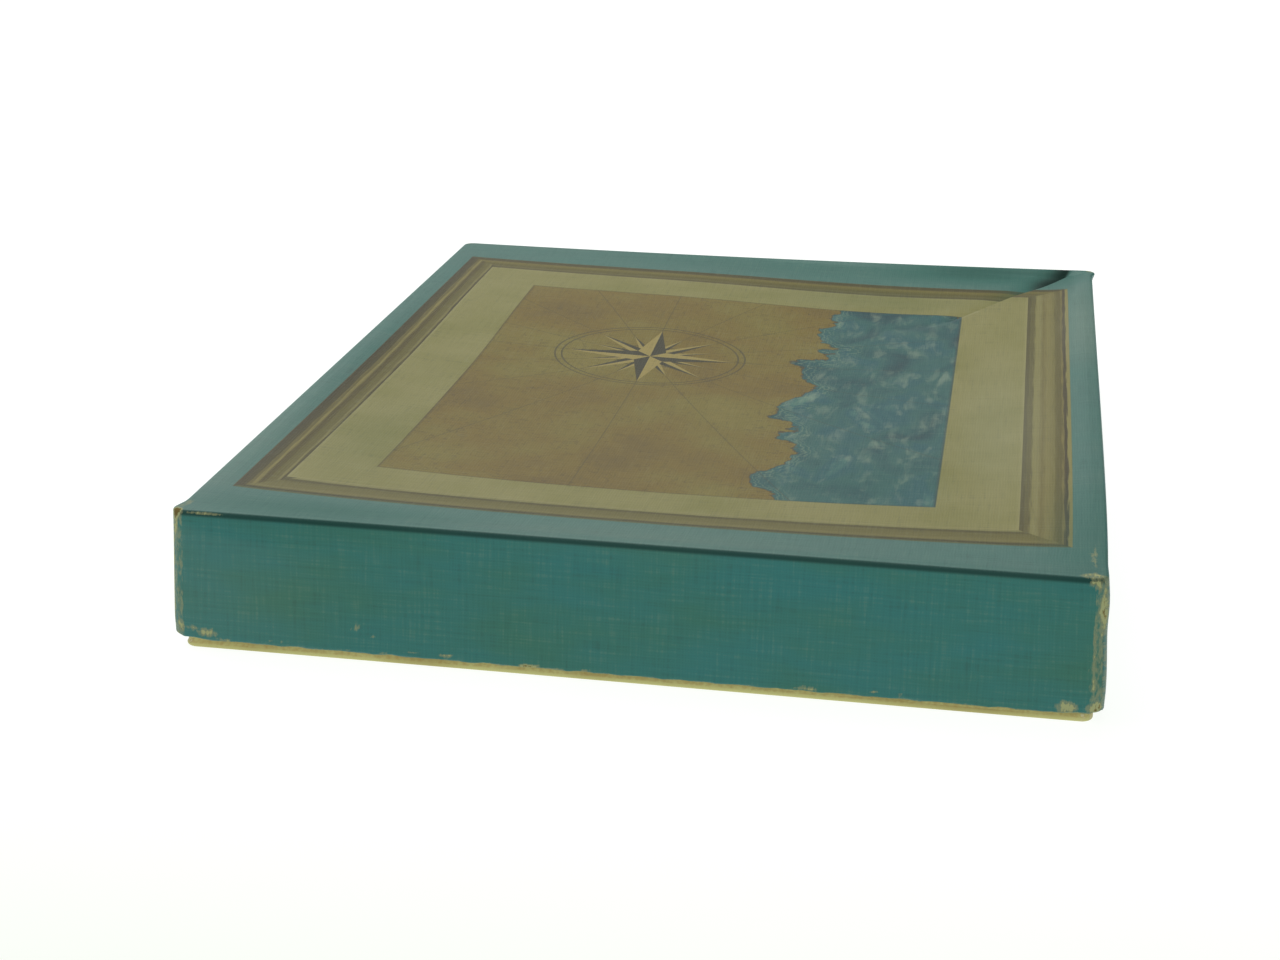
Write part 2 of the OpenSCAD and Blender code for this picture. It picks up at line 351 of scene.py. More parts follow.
class Leg(Enum):
    """The four legs of the printed moulding: stops from its outer edge in to the mat."""

    RIGHT = (
        (0.0, "#746f38"), (0.07, "#79733d"), (0.09, "#3a3210"), (0.14, "#3c3412"), (0.17, "#6d6430"),
        (0.2, "#544d1b"), (0.31, "#575120"), (0.36, "#696330"), (0.5, "#726b38"), (0.6, "#665e2c"),
        (0.68, "#757040"), (0.78, "#76713e"), (0.83, "#534d20"), (0.9, "#575225"), (0.94, "#4a451c"),
        (1.0, "#4d4820"),
    )
    LEFT = (
        (0.0, "#463d18"), (0.05, "#383213"), (0.27, "#403b12"), (0.3, "#5c5424"), (0.37, "#56501e"),
        (0.4, "#786f38"), (0.45, "#69622f"), (0.5, "#473e0c"), (0.62, "#4c440e"), (0.66, "#565018"),
        (0.84, "#5a5420"), (0.9, "#746e3c"), (0.93, "#554e1c"), (0.96, "#3a3410"), (1.0, "#4a4418"),
    )
    FRONT = (
        (0.0, "#4c5430"), (0.08, "#454a22"), (0.12, "#332f0c"), (0.18, "#4b4718"), (0.27, "#6a6433"),
        (0.4, "#605b28"), (0.55, "#5d5824"), (0.72, "#5a5522"), (0.8, "#454010"), (0.87, "#4d4818"),
        (0.93, "#7c7846"), (1.0, "#6f6c3c"),
    )
    BACK = (
        (0.0, "#4a4824"), (0.1, "#3d3810"), (0.25, "#484110"), (0.35, "#665e24"), (0.5, "#5b5418"),
        (0.65, "#504a0e"), (0.8, "#5b5528"), (0.9, "#4a4414"), (1.0, "#5c5630"),
    )


@dataclass(frozen=True)
class PrintedLinen(Finish):
    """Linen-embossed paper printed by offset: a teal ground, and on the lid's top a picture frame.

    The embossed threads break up the light, and the ink lies a little glossy on them.

    Attributes:
        ground: The printed ground.
        shade: Its darker clouds.
        bleached: The ground on the top, where light has paled it.
        bleached_shade: The clouds there.
        weave_shade_and_dirt: What has settled between the threads.
        mat: The printed mat.
        core: The paper's own core, bare where the print is rubbed off.
        board: The greyboard, bare where the paper is worn through.
        thread: Spacing of the embossed threads.
        front_fold: Where the sheet folds down over the front edge.
        top: The lid's bleached top.
        frame: The printed picture frame.
        opening: The mat inside it.
        picture: The chart inside the mat.
    """

    name: str = "linen_embossed_offset_printed_paper"
    ior: float = 1.4
    roughness: float = 0.42
    ground: str = "#1a6664"
    shade: str = "#256251"
    bleached: str = "#42685f"
    bleached_shade: str = "#3a6a60"
    weave_shade_and_dirt: str = "#12302b"
    mat: str = "#7e7a48"
    core: str = "#90966a"
    board: str = "#7d7238"
    thread: float = 1.1           # real threads are 0.55 apart; drawn at twice that to show
    front_fold: float = LID_FRONT
    top: PrintRect = PrintRect(-171, 171, -241, 241)
    frame: PrintRect = PrintRect(-160, 158.6, -207.5, 208)
    opening: PrintRect = PrintRect(-144.5, 138.5, -187.4, 188.4)
    picture: PrintRect = PrintRect(-115.5, 106, -160, 157.3)

    def paint(self, tree: Tree) -> Coat:
        """Prints the ground, the frame, the mat and the chart, adds the weave and the tone with their painted
        highlight and shade, darkens the front fold, then wears them.

        Args:
            tree: The material's tree.

        Returns:
            The coat of the whole sheet.
        """
        spot = Spot.of(on_sheet(tree))
        weave, threads = self.emboss(spot)
        colour = self.teal(spot)
        colour = self.frame.inside(spot).over(colour, self.moulding(spot))
        colour = self.opening.inside(spot).over(colour, self.mount(spot))
        chart = SeaChart(self.picture).draw(spot)
        colour = self.picture.inside(spot, 0.3).over(colour, chart)
        # Painted light on the emboss: thicker threads are drawn paler as a painted highlight; thinner threads
        # and the weave's hollows are drawn darker, partly painted shade and partly dirt.
        colour = (threads.rise(0.5, 0.75) * 0.12).over(colour, "#8f9c80")
        colour = (threads.rise(0.5, 0.25) * 0.3).over(colour, self.weave_shade_and_dirt)
        colour = (weave * -0.12 + 0.12).over(colour, self.weave_shade_and_dirt)
        # The tone attribute: above 0 the print is drawn paler, partly bleaching and partly painted sheen;
        # below 0 it is drawn darker, partly soiling and partly painted shade, darkest as painted shade along
        # the crack.
        tone = add(tree, "ShaderNodeAttribute", output="Fac", attribute_name=TONE)
        colour = tone.most(0.0).over(colour, "#a3a894")
        darkened = (tone * -1).most(0.0)
        shade_and_soil_colour = darkened.rise(0.4, 0.9).over("#0b5145", "#02241c")
        colour = darkened.over(colour, shade_and_soil_colour)
        # A dark band along the front fold, darker and rougher than the wall round it.
        fold = spot.y.line(self.front_fold, 0.5, 1.5) * 0.9
        colour = fold.over(colour, "#02312b")
        colour, bare = self.worn(spot, colour)
        rough = darkened * 0.5 + fold * 0.4 + bare * 0.35 + self.roughness
        return Coat(colour, rough, weave * 0.035 + threads * 0.12 + bare * -0.15)

    def emboss(self, spot: Spot) -> tuple[Signal, Signal]:
        """Draws the woven relief and the uneven threads in it.

        Args:
            spot: Place on the sheet.

        Returns:
            The height of the weave, and how thick the threads are at each point, around 0.5.
        """
        pitch = self.thread
        drift = texture(spot.place, "Noise", 9, {"Detail": 1}) * 1.2
        warp = (spot.x + drift).repeat(pitch) * (2 / pitch)
        weft = (spot.y + drift).repeat(pitch) * (2 / pitch)
        long_way = texture(spot.place, "Noise", (1.3, 22, 1), {"Detail": 2})
        cross_way = texture(spot.place, "Noise", (22, 1.3, 1), {"Detail": 2})
        return warp.most(weft), (long_way + cross_way) * 0.5

    def teal(self, spot: Spot) -> Signal:
        """Mottles the ground, which light has bleached on the top.

        Args:
            spot: Place on the sheet.

        Returns:
            The ground's colour.
        """
        cloud = texture(spot.place, "Noise", (70, 26, 1), {"Detail": 4})
        patches = cloud.rise(0.3, 0.75)
        colour = patches.over(self.ground, self.shade)
        return self.top.inside(spot, 1).over(colour, (patches * 0.4).over(self.bleached, self.bleached_shade))

    def moulding(self, spot: Spot) -> Signal:
        """Prints the mitred moulding: one ramp of mouldings and shadows for each leg.

        Args:
            spot: Place on the sheet.

        Returns:
            The moulding's colour.
        """
        tree = spot.place.tree
        across, along = self.frame.margins(spot)
        depth = across.least(along)
        on_side = (along - across).rise(-0.1, 0.1)
        grain_side = texture(spot.place, "Noise", (0.9, 24, 1))
        grain_end = texture(spot.place, "Noise", (24, 0.9, 1))
        grain = (grain_side - grain_end) * on_side + grain_end
        widths = {
            Leg.LEFT: self.opening.left - self.frame.left,
            Leg.RIGHT: self.frame.right - self.opening.right,
            Leg.FRONT: self.opening.front - self.frame.front,
            Leg.BACK: self.frame.back - self.opening.back,
        }
        legs = {}
        for leg, width in widths.items():
            share = depth * (1 / width) + (grain - 0.5) * 0.12
            legs[leg] = add(tree, "ShaderNodeValToRGB", {0: share}, stops=leg.value)
        sides = spot.x.rise(-1, 1).over(legs[Leg.LEFT], legs[Leg.RIGHT])
        ends = spot.y.rise(-1, 1).over(legs[Leg.FRONT], legs[Leg.BACK])
        colour = on_side.over(ends, sides)
        return (grain.rise(0.6, 0.9) * 0.4).over(colour, "#2c2612")

    def mount(self, spot: Spot) -> Signal:
        """Prints the cream mat, toned with age, with a darker line round its opening.

        Args:
            spot: Place on the sheet.

        Returns:
            The mat's colour.
        """
        cloud = texture(spot.place, "Noise", 45, {"Detail": 3})
        colour = cloud.rise(0.3, 0.8).over(self.mat, "#716f36")
        rim = self.opening.depth(spot).rise(1.6, 0)
        return (rim * 0.5).over(colour, "#8b8659")

    def worn(self, spot: Spot, colour: Signal) -> tuple[Signal, Signal]:
        """Rubs the print off to the paper's core where the sheet is worn.

        Args:
            spot: Place on the sheet.
            colour: The print.

        Returns:
            The worn colour, and the mask of bare paper.
        """
        tree = spot.place.tree
        wear = add(tree, "ShaderNodeAttribute", output="Fac", attribute_name=WEAR)
        fray = texture(spot.place, "Noise", (1.3, 3.6, 1), {"Detail": 4, "Roughness": 0.65})
        rub = texture(spot.place, "Noise", 7, {"Detail": 3})
        worn = wear + (rub - 0.5) * 0.6
        edge = worn + (fray - 0.5) * 1.1
        thin = edge.rise(0.37, 0.67) * 0.55
        bare, deep = edge.rise(0.7, 0.8), edge.rise(0.94, 1.06)
        board = rub.rise(0.35, 0.65).over(self.board, "#5c4f24")
        colour = thin.over(colour, "#83855f")
        colour = bare.over(colour, self.core)
        return deep.over(colour, board), bare


@dataclass(frozen=True)
class SeaChart:
    """An antique-style sea chart: ochre land, blue-grey water, a rose and its rhumb lines.

    Attributes:
        area: The printed rectangle.
        rose: Centre of the compass rose.
        rose_size: Reach of its longest points.
        coast: Where the coast runs, to the right of the middle.
        bays: How far its coves and capes reach.
        islands: Noise above this level stands out of the water as an island.
        land_stops: The land's colours, from low to high.
        water_stops: The water's colours, from trough to crest.
    """

    area: PrintRect
    rose: tuple[float, float] = (-38.0, 52.0)
    rose_size: float = 40.0
    coast: float = 36.0
    bays: float = 95.0
    islands: float = 0.74
    land_stops: Stops = ((0.3, "#5d4d1a"), (0.45, "#6a5918"), (0.6, "#6e6425"), (0.75, "#786c30"))
    water_stops: Stops = (
        (0.3, "#143c3f"), (0.42, "#1d4c4b"), (0.52, "#295751"), (0.62, "#1d5053"), (0.72, "#3f6a5f"),
    )

    def draw(self, spot: Spot) -> Signal:
        """Draws land, water and rose, and the darker rim round them.

        Args:
            spot: Place on the sheet.

        Returns:
            The chart's colour.
        """
        coves = texture(spot.place, "Noise", 52, {"Detail": 5, "Roughness": 0.55})
        shore = spot.x - self.coast + (coves - 0.5) * self.bays
        islet = texture(spot.place, "Noise", 30, {"Detail": 4, "W": 3.7}, noise_dimensions="4D")
        land_near = (islet - self.islands) * 160
        shore = shore.least(land_near * -1)
        water = shore.rise(-0.3, 0.3)
        colour = water.over(self.land(spot, coves), self.sea(spot, shore))
        colour = (shore.line(0, 0.35, 0.4) * 0.8).over(colour, "#3a3018")
        colour = self.lines(colour, spot)
        rim = self.area.depth(spot).rise(1.6, 0.2)
        return (rim * 0.45).over(colour, "#2c2a12")

    def land(self, spot: Spot, coves: Signal) -> Signal:
        """Tones the land from brown to straw, with fine relief lines.

        Args:
            spot: Place on the sheet.
            coves: The noise that shapes the coast.

        Returns:
            The land's colour.
        """
        tree = spot.place.tree
        tone = texture(spot.place, "Noise", 80, {"Detail": 5, "Roughness": 0.6})
        colour = add(tree, "ShaderNodeValToRGB", {0: tone}, stops=self.land_stops)
        relief = coves.repeat(0.05).line(0, 0.0012, 0.0022) * 0.35
        return relief.over(colour, "#3d2f14")

    def sea(self, spot: Spot, shore: Signal) -> Signal:
        """Draws the water: ripple lines along the shore, and light crests further out.

        Args:
            spot: Place on the sheet.
            shore: Distance from the shore, above 0 on the water.

        Returns:
            The water's colour.
        """
        tree = spot.place.tree
        swell = texture(spot.place, "Noise", (26, 44, 1), {"Detail": 7, "Roughness": 0.5, "Distortion": 0.7})
        crest = texture(spot.place, "Noise", (8, 26, 1), {"Detail": 5, "Roughness": 0.6, "Distortion": 0.6})
        gust = texture(spot.place, "Noise", 24, {"Detail": 3})
        colour = add(tree, "ShaderNodeValToRGB", {0: swell}, stops=self.water_stops)
        colour = ((crest + gust * 0.4).rise(0.7, 0.96) * 0.38).over(colour, "#8a9880")
        ripple = shore.repeat(3.4).line(0, 0.25, 0.5) * shore.rise(16, 2) * 0.35
        return ripple.over(colour, "#7d8f72")

    def lines(self, colour: Signal, spot: Spot) -> Signal:
        """Lays the rhumb lines and the compass rose over the chart.

        Args:
            colour: The chart so far.
            spot: Place on the sheet.

        Returns:
            The chart with its lines.
        """
        dx, dy = spot.x - self.rose[0], spot.y - self.rose[1]
        reach = (dx * dx + dy * dy).math("SQRT")
        angle = dy.math("ARCTAN2", dx)
        dark, straw = "#33301a", "#8a7c42"
        sector = math.tau / 16
        rhumb = (angle.repeat(sector).math("SINE") * reach).rise(0.42, 0.12)
        colour = (rhumb * reach.rise(8, self.rose_size) * 0.45).over(colour, dark)
        for radius in (1.05, 1.13, 0.42):
            ring = reach.line(self.rose_size * radius, 0.25, 0.3)
            colour = (ring * 0.75).over(colour, dark)
        for points, size, turn in ((8, 0.78, sector), (8, 1.0, 0.0), (4, 1.0, 0.0)):
            colour = self.star(colour, reach, angle + turn, points, size * self.rose_size, straw, dark)
        return colour

    def star(self, colour: Signal, reach: Signal, angle: Signal, points: int, size: float,
             light: str, dark: str) -> Signal:
        """Draws one star of the rose, each point half light and half dark.

        Args:
            colour: What lies under it.
            reach: Distance from the centre.
            angle: Angle round the centre.
            points: How many points it has.
            size: Length of a point.
            light: Colour of one half of a point.
            dark: Colour of the other half.

        Returns:
            The colour with the star on it.
        """
        sector = math.tau / points
        valley = size * 0.24
        off_axis = angle.repeat(sector)
        run, rise = valley * math.sin(sector / 2), size - valley * math.cos(sector / 2)
        reach_across = (off_axis.math("COSINE") * run + off_axis.math("SINE") * rise) * reach
        inside = (reach_across * (1 / run) * -1 + size).rise(-0.6, 0.6)
        half = (angle.math("FLOORED_MODULO", sector) - sector / 2).rise(-0.002, 0.002)
        return inside.over(colour, half.over(light, dark))


@dataclass(frozen=True)
class PlainPaper(Finish):
    """Uncoated paper or card: faint fibres, foxing and a soiled bloom where hands have been.

    Attributes:
        colour: The clean sheet.
        soil: The colour of its stains.
        stain: How strongly they show.
        speck: The colour of the flecks in the stock.
        flecks: How strongly the flecks show.
        relief: Height of its fibres in millimetres.
    """

    colour: str = "#d8d4c4"
    soil: str = "#b09a6a"
    stain: float = 0.3
    speck: str = "#8a7a58"
    flecks: float = 0.25
    relief: float = 0.02

    def paint(self, tree: Tree) -> Coat:
        """Draws stains over fibres over the stock."""
        return self.sheet(on_piece(tree))

    def sheet(self, place: Signal) -> Coat:
        """Draws the paper at a place given in millimetres.

        Args:
            place: Coordinates of the pattern.

        Returns:
            The coat of the paper.
        """
        bloom = texture(place, "Noise", 38, {"Detail": 5})
        fibre = texture(place, "Noise", 0.9, {"Detail": 4, "Roughness": 0.7})
        fleck = texture(place, "Voronoi", 2.6)
        colour = (bloom.rise(0.45, 0.75) * self.stain).over(self.colour, self.soil)
        colour = (fibre.rise(0.45, 0.8) * 0.16).over(colour, self.soil)
        colour = (fleck.rise(0.16, 0.05) * self.flecks).over(colour, self.speck)
        return Coat(colour, fibre * 0.2 + (self.roughness - 0.1), fibre * self.relief)


@dataclass(frozen=True)
class Greyboard(PlainPaper):
    """Greyboard of pulped waste paper: dark and light fibres, matt and slightly furry."""

    name: str = "pulped_greyboard"
    roughness: float = 0.85
    colour: str = "#8f8672"
    soil: str = "#5f5848"
    stain: float = 0.5
    speck: str = "#4a4538"
    flecks: float = 0.7
    relief: float = 0.06


@dataclass(frozen=True)
class TrayPaper(PlainPaper):
    """Straw-yellow glazed wrap of the tray, browned by handling and worn at its edges, with a band of painted
    shadow under the lid's edge.
    """

    name: str = "straw_yellow_wrapping_paper"
    ior: float = 1.4
    roughness: float = 0.5
    colour: str = "#b8b776"
    soil: str = "#94874a"
    stain: float = 0.6
    flecks: float = 0.2

    def paint(self, tree: Tree) -> Coat:
        """Draws the paper, pale where it is worn, with a band of painted shadow under the lid's edge.

        Args:
            tree: The material's tree.

        Returns:
            The coat of the paper.
        """
        place = on_sheet(tree)
        coat = self.sheet(place)
        wear = add(tree, "ShaderNodeAttribute", output="Fac", attribute_name=WEAR)
        fray = texture(place, "Noise", 1.8, {"Detail": 5})
        bare = (wear + (fray - 0.5) * 1.1).rise(0.6, 0.72)
        height = add(tree, "ShaderNodeSeparateXYZ", {0: on_piece(tree)}, "Z")
        # Painted shadow: a golden-brown band, broken up by noise, at the height where the lid's lower edge
        # stands over the tray.
        lid_shadow_band = height.line(2.6, 0.5, 0.9) * (fray.rise(0.3, 0.7) * 0.4 + 0.15)
        colour = lid_shadow_band.over(coat.colour, "#8c6c28")
        colour = bare.over(colour, "#bdb68c")
        return Coat(colour, bare * 0.3 + coat.roughness, coat.height + bare * -0.1)


@dataclass(frozen=True)
class KraftTape(PlainPaper):
    """Brown kraft stay tape, gummed: long fibres and a faint glaze."""

    name: str = "gummed_kraft_tape"
    roughness: float = 0.55
    colour: str = "#a3794c"
    soil: str = "#7a5632"
    flecks: float = 0.4


@dataclass(frozen=True)
class GrainedCover(Finish):
    """Bookbinder's paper embossed with a leather grain: fine pebbles with worn, paler tops."""

    roughness: float = 0.45
    colour: str = "#27405f"
    pebble: float = 1.3           # real pebbles are about 0.6 across; drawn larger to show

    def paint(self, tree: Tree) -> Coat:
        """Draws pebbles, then dulls the colour in patches.

        Args:
            tree: The material's tree.

        Returns:
            The coat of the cover.
        """
        place = on_piece(tree)
        grain = texture(place, "Voronoi", self.pebble, {"Smoothness": 0.4}, feature="SMOOTH_F1")
        cloud = texture(place, "Noise", 30, {"Detail": 4})
        colour = (cloud.rise(0.4, 0.8) * 0.3).over(self.colour, "#8b8878")
        colour = (grain.rise(0.25, 0.6) * 0.45).over(colour, "#14161a")
        return Coat(colour, grain * 0.2 + self.roughness, grain * -0.12)


@dataclass(frozen=True)
class GridSheet(Finish):
    """Offset-printed plotting sheet: two squared seas with tinted water and a ruled border.

    Attributes:
        middle: Where the board's middle lies along Y.
        grid_offset: How far each grid's middle lies from the board's.
        side: Side of a grid.
        cells: Squares along a side.
        inks: Tints of the left and the right grid.
        stock: The paper.
        rule: The ink of the squares and the border.
    """

    roughness: float = 0.5
    middle: float = 149.25
    grid_offset: float = 78.5
    side: float = 145.0
    cells: int = 10
    inks: tuple[str, str] = ("#9dbac0", "#b9c8a4")
    stock: str = "#ddd6c0"
    rule: str = "#28445a"

    def paint(self, tree: Tree) -> Coat:
        """Prints the water, the squares, the border and aim dots, on toned stock.

        Args:
            tree: The material's tree.

        Returns:
            The coat of the sheet.
        """
        spot = Spot.of(on_piece(tree))
        across = abs(spot.x) - self.grid_offset
        along = spot.y - self.middle
        square = self.side / self.cells
        edge = abs(across).most(abs(along))
        inside = edge.rise(self.side / 2 + 0.2, self.side / 2 - 0.2)
        swell = texture(spot.place, "Wave", 22, {"Distortion": 6.0, "Detail": 2})
        water = spot.x.rise(-1, 1).over(self.inks[0], self.inks[1])
        water = (swell.rise(0.55, 0.95) * 0.22).over(water, "#e6e6d8")
        near_x, near_y = (across + self.side / 2).repeat(square), (along + self.side / 2).repeat(square)
        squares = near_x.least(near_y).rise(0.34, 0.18)
        aim = (near_x - square / 2).most(near_y - square / 2) * -1
        dots = aim.rise(1.05, 0.75)
        frame_rule = edge.line(self.side / 2 + 2.2, 0.35, 0.15)
        bloom = texture(spot.place, "Noise", 40, {"Detail": 5})
        colour = (bloom.rise(0.45, 0.8) * 0.35).over(self.stock, "#c3ad78")
        colour = (inside * 0.85).over(colour, water)
        marks = (squares.most(dots * 0.6) * inside).most(frame_rule)
        colour = (marks * 0.8).over(colour, self.rule)
        return Coat(colour, bloom * 0.2 + (self.roughness - 0.1), marks * -0.01 + bloom * 0.02)


@dataclass(frozen=True)
class ScreenPaper(Finish):
    """The dividing screen's printed paper: a teal linen ground inside a straw border of waves.

    The embossing scatters the gloss, as it does on the lid.

    Attributes:
        ground: The printed ground.
        rule: The ink of the border and the waves.
        outline: Its outline.
        wave_rows: How far from the middle the two rows of waves run.
        wave_length: Length of one wave.
        thread: Spacing of the embossed threads.
    """

    name: str = "linen_embossed_screen_paper"
    roughness: float = 0.48
    ground: str = "#356b66"
    rule: str = "#b8ab72"
    outline: PrintRect = PrintRect(-148, 148, -220, 220)
    wave_rows: tuple[float, float] = (118.0, 108.0)
    wave_length: float = 22.0
    thread: float = 1.1           # real threads are 0.55 apart; drawn at twice that to show

    def paint(self, tree: Tree) -> Coat:
        """Prints the ground, a border rule and two rows of waves.

        Args:
            tree: The material's tree.

        Returns:
            The coat of the screen.
        """
        spot = Spot.of(on_piece(tree))
        x, y = spot.x, spot.y
        pitch = self.thread
        weave = (x.repeat(pitch) * (2 / pitch)).most(y.repeat(pitch) * (2 / pitch))
        margin = self.outline.depth(spot)
        cloud = texture(spot.place, "Noise", 50, {"Detail": 4})
        colour = cloud.rise(0.3, 0.8).over(self.ground, "#2b5751")
        crest = (y * (math.tau / self.wave_length)).math("SINE") * 3.5
        outer, inner = ((abs(x) - row + crest).line(0, 0.9, 0.4) for row in self.wave_rows)
        waves = outer.most(inner) * margin.rise(13, 14)
        rules = margin.line(8, 1.0, 0.3).most(margin.line(11, 0.35, 0.3))
        colour = (waves.most(rules) * 0.85).over(colour, self.rule)
        colour = (margin.rise(1.4, 0.2) * 0.5).over(colour, "#a39b66")
        # The weave's hollows are drawn darker: painted shade of the emboss.
        colour = (weave * -0.2 + 0.2).over(colour, "#12302b")
        return Coat(colour, cloud * 0.1 + self.roughness, weave * 0.035)


@dataclass(frozen=True)
class LeafletPaper(PlainPaper):
    """Thin printed sheet, yellowed: a ruled border, and grey bars where paragraphs would stand.

    Attributes:
        outline: Outline of a page.
    """

    name: str = "yellowed_leaflet_paper"
    colour: str = "#d9cfae"
    stain: float = 0.5
    outline: PrintRect = PrintRect(-108, 108, -140, 140)

    def paint(self, tree: Tree) -> Coat:
        """Prints the rules and bars over the paper.

        Args:
            tree: The material's tree.

        Returns:
            The coat of the leaflet.
        """
        spot = Spot.of(on_piece(tree))
        x, y = spot.x, spot.y
        coat = self.sheet(spot.place)
        margin = self.outline.depth(spot)
        border = margin.line(12, 0.5, 0.2).most(margin.line(14, 0.25, 0.2))
        body = (abs(x) * -1 + 80).rise(0, 0.6) * y.rise(62, 61.4) * y.rise(-110, -109.4)
        bars = y.repeat(7).line(0, 0.9, 0.25) * body
        diagram = abs(x).most(abs(y - 90)).rise(20, 19.7)
        near = x.repeat(8).least((y - 90).repeat(8)).rise(0.45, 0.25)
        marks = border.most(bars * 0.45).most(diagram * near)
        colour = (marks * 0.75).over(coat.colour, "#35566a")
        return Coat(colour, coat.roughness, coat.height)


@dataclass(frozen=True)
class Beech(Finish):
    """Planed beech, unvarnished: close straight grain with short dark rays."""

    name: str = "planed_beech"

    def paint(self, tree: Tree) -> Coat:
        """Draws grain along Y, then rays in it.

        Args:
            tree: The material's tree.

        Returns:
            The coat of the wood.
        """
        place = on_piece(tree)
        grain = texture(place, "Noise", (2.2, 40, 2.2), {"Detail": 5})
        rays = texture(place, "Voronoi", (0.5, 3.2, 0.5))
        stops = ((0.3, "#b98d5c"), (0.5, "#caa071"), (0.7, "#dab688"))
        colour = add(tree, "ShaderNodeValToRGB", {0: grain}, stops=stops)
        ray = rays.rise(0.22, 0.1)
        colour = (ray * 0.5).over(colour, "#8a5f38")
        return Coat(colour, grain * 0.2 + self.roughness, grain * 0.05 + ray * -0.03)


@dataclass(frozen=True)
class Polystyrene(Finish):
    """Injection-moulded polystyrene: an even gloss with faint flow marks and fine scratches."""

    ior: float = 1.55
    roughness: float = 0.3
    colour: str = "#a8281e"

    def paint(self, tree: Tree) -> Coat:
        """Draws flow marks in the colour and scratches in the gloss.

        Args:
            tree: The material's tree.

        Returns:
            The coat of the plastic.
        """
        place = on_piece(tree)
        flow = texture(place, "Noise", 7, {"Detail": 3, "Distortion": 1.2})
        scratch = texture(place, "Noise", (0.4, 6, 0.4), {"Detail": 4, "Roughness": 0.7})
        colour = (flow.rise(0.4, 0.8) * 0.22).over(self.colour, "#f0e6d0")
        return Coat(colour, scratch.rise(0.5, 0.8) * 0.3 + self.roughness, scratch * 0.02 + flow * 0.05)


@dataclass(frozen=True)
class StudioFloor(Finish):
    """White seamless background sheet, flat, matt and lit from below so that hardly a shadow stays."""

    name: str = "backlit_background_sheet"
    roughness: float = 0.9
    glow: float = 7.0
    colour: str = "#5c5e5a"

    def paint(self, tree: Tree) -> Coat:
        """Draws plain paper, a shade darker towards the front, with the faintest tooth.

        Args:
            tree: The material's tree.

        Returns:
            The coat of the floor.
        """
        spot = Spot.of(on_piece(tree))
        tooth = texture(spot.place, "Noise", 400, {"Detail": 2})
        colour = spot.y.rise(-700, -150).over(self.colour, "#666766")
        colour = (tooth.rise(0.3, 0.8) * 0.3).over(colour, "#626461")
        return Coat(colour, self.roughness, 0.0)


# ---- folded sheets ---------------------------------------------------------


@dataclass
class Sheet:
    """A closed mesh in the making, in millimetres.

    Attributes:
        points: One row per vertex.
        faces: Four vertex numbers per face.
        unfolded: Where each face's corners lie on the flat paper.
    """

    points: np.ndarray
    faces: np.ndarray
    unfolded: np.ndarray

    def turned_over(self, height: float) -> "Sheet":
        """Stands the sheet on its head inside the given height, faces still outwards."""
        points = self.points * (1, 1, -1) + (0, 0, height)
        return Sheet(points, self.faces[:, ::-1], self.unfolded[:, ::-1])

    def piece(self, name: str, points: np.ndarray, finish: bpy.types.Material,
              weights: Mapping[str, np.ndarray] | None = None) -> bpy.types.Object:
        """Stores the sheet as an object, in metres, with its final points.

        Args:
            name: The piece's name.
            points: The vertices after the sheet has settled.
            finish: Its material.
            weights: Vertex attributes to store with it.

        Returns:
            The object, at the origin.
        """
        mesh = bpy.data.meshes.new(name)
        mesh.from_pydata((points * MM).tolist(), [], self.faces.tolist())
        chart = mesh.uv_layers.new(name=SHEET_MAP)
        chart.uv.foreach_set("vector", (self.unfolded * MM).astype(np.float32).ravel())
        for key, values in (weights or {}).items():
            kept = mesh.attributes.new(key, "FLOAT", "POINT")
            kept.data.foreach_set("value", values.astype(np.float32))
        return placed(name, mesh, finish)


def placed(name: str, mesh: bpy.types.Mesh, finish: bpy.types.Material) -> bpy.types.Object:
    """Puts a finished mesh into the scene, smooth but for its sharp folds.

    Args:
        name: The piece's name.
        mesh: Its mesh, in metres.
        finish: Its material.

    Returns:
        The object, at the origin.
    """
    mesh.materials.clear()
    mesh.materials.append(finish)
    mesh.polygons.foreach_set("use_smooth", [True] * len(mesh.polygons))
    mesh.set_sharp_from_angle(angle=SHARP_ANGLE)
    made = bpy.data.objects.new(name, mesh)
    bpy.context.scene.collection.objects.link(made)
    return made


@dataclass(frozen=True)
class Lattice:
    """The stations of a plan's mesh, and the loop of them along its border.

    Attributes:
        across: Stations along X: the straight part and the corner's share of each.
        along: Stations along Y.
        columns: Column of each border point, going round from the front left.
        rows: Its row.
        sides: The side it belongs to: 0 front, 1 right, 2 back, 3 left.
    """

    across: np.ndarray
    along: np.ndarray
    columns: np.ndarray
    rows: np.ndarray
    sides: np.ndarray


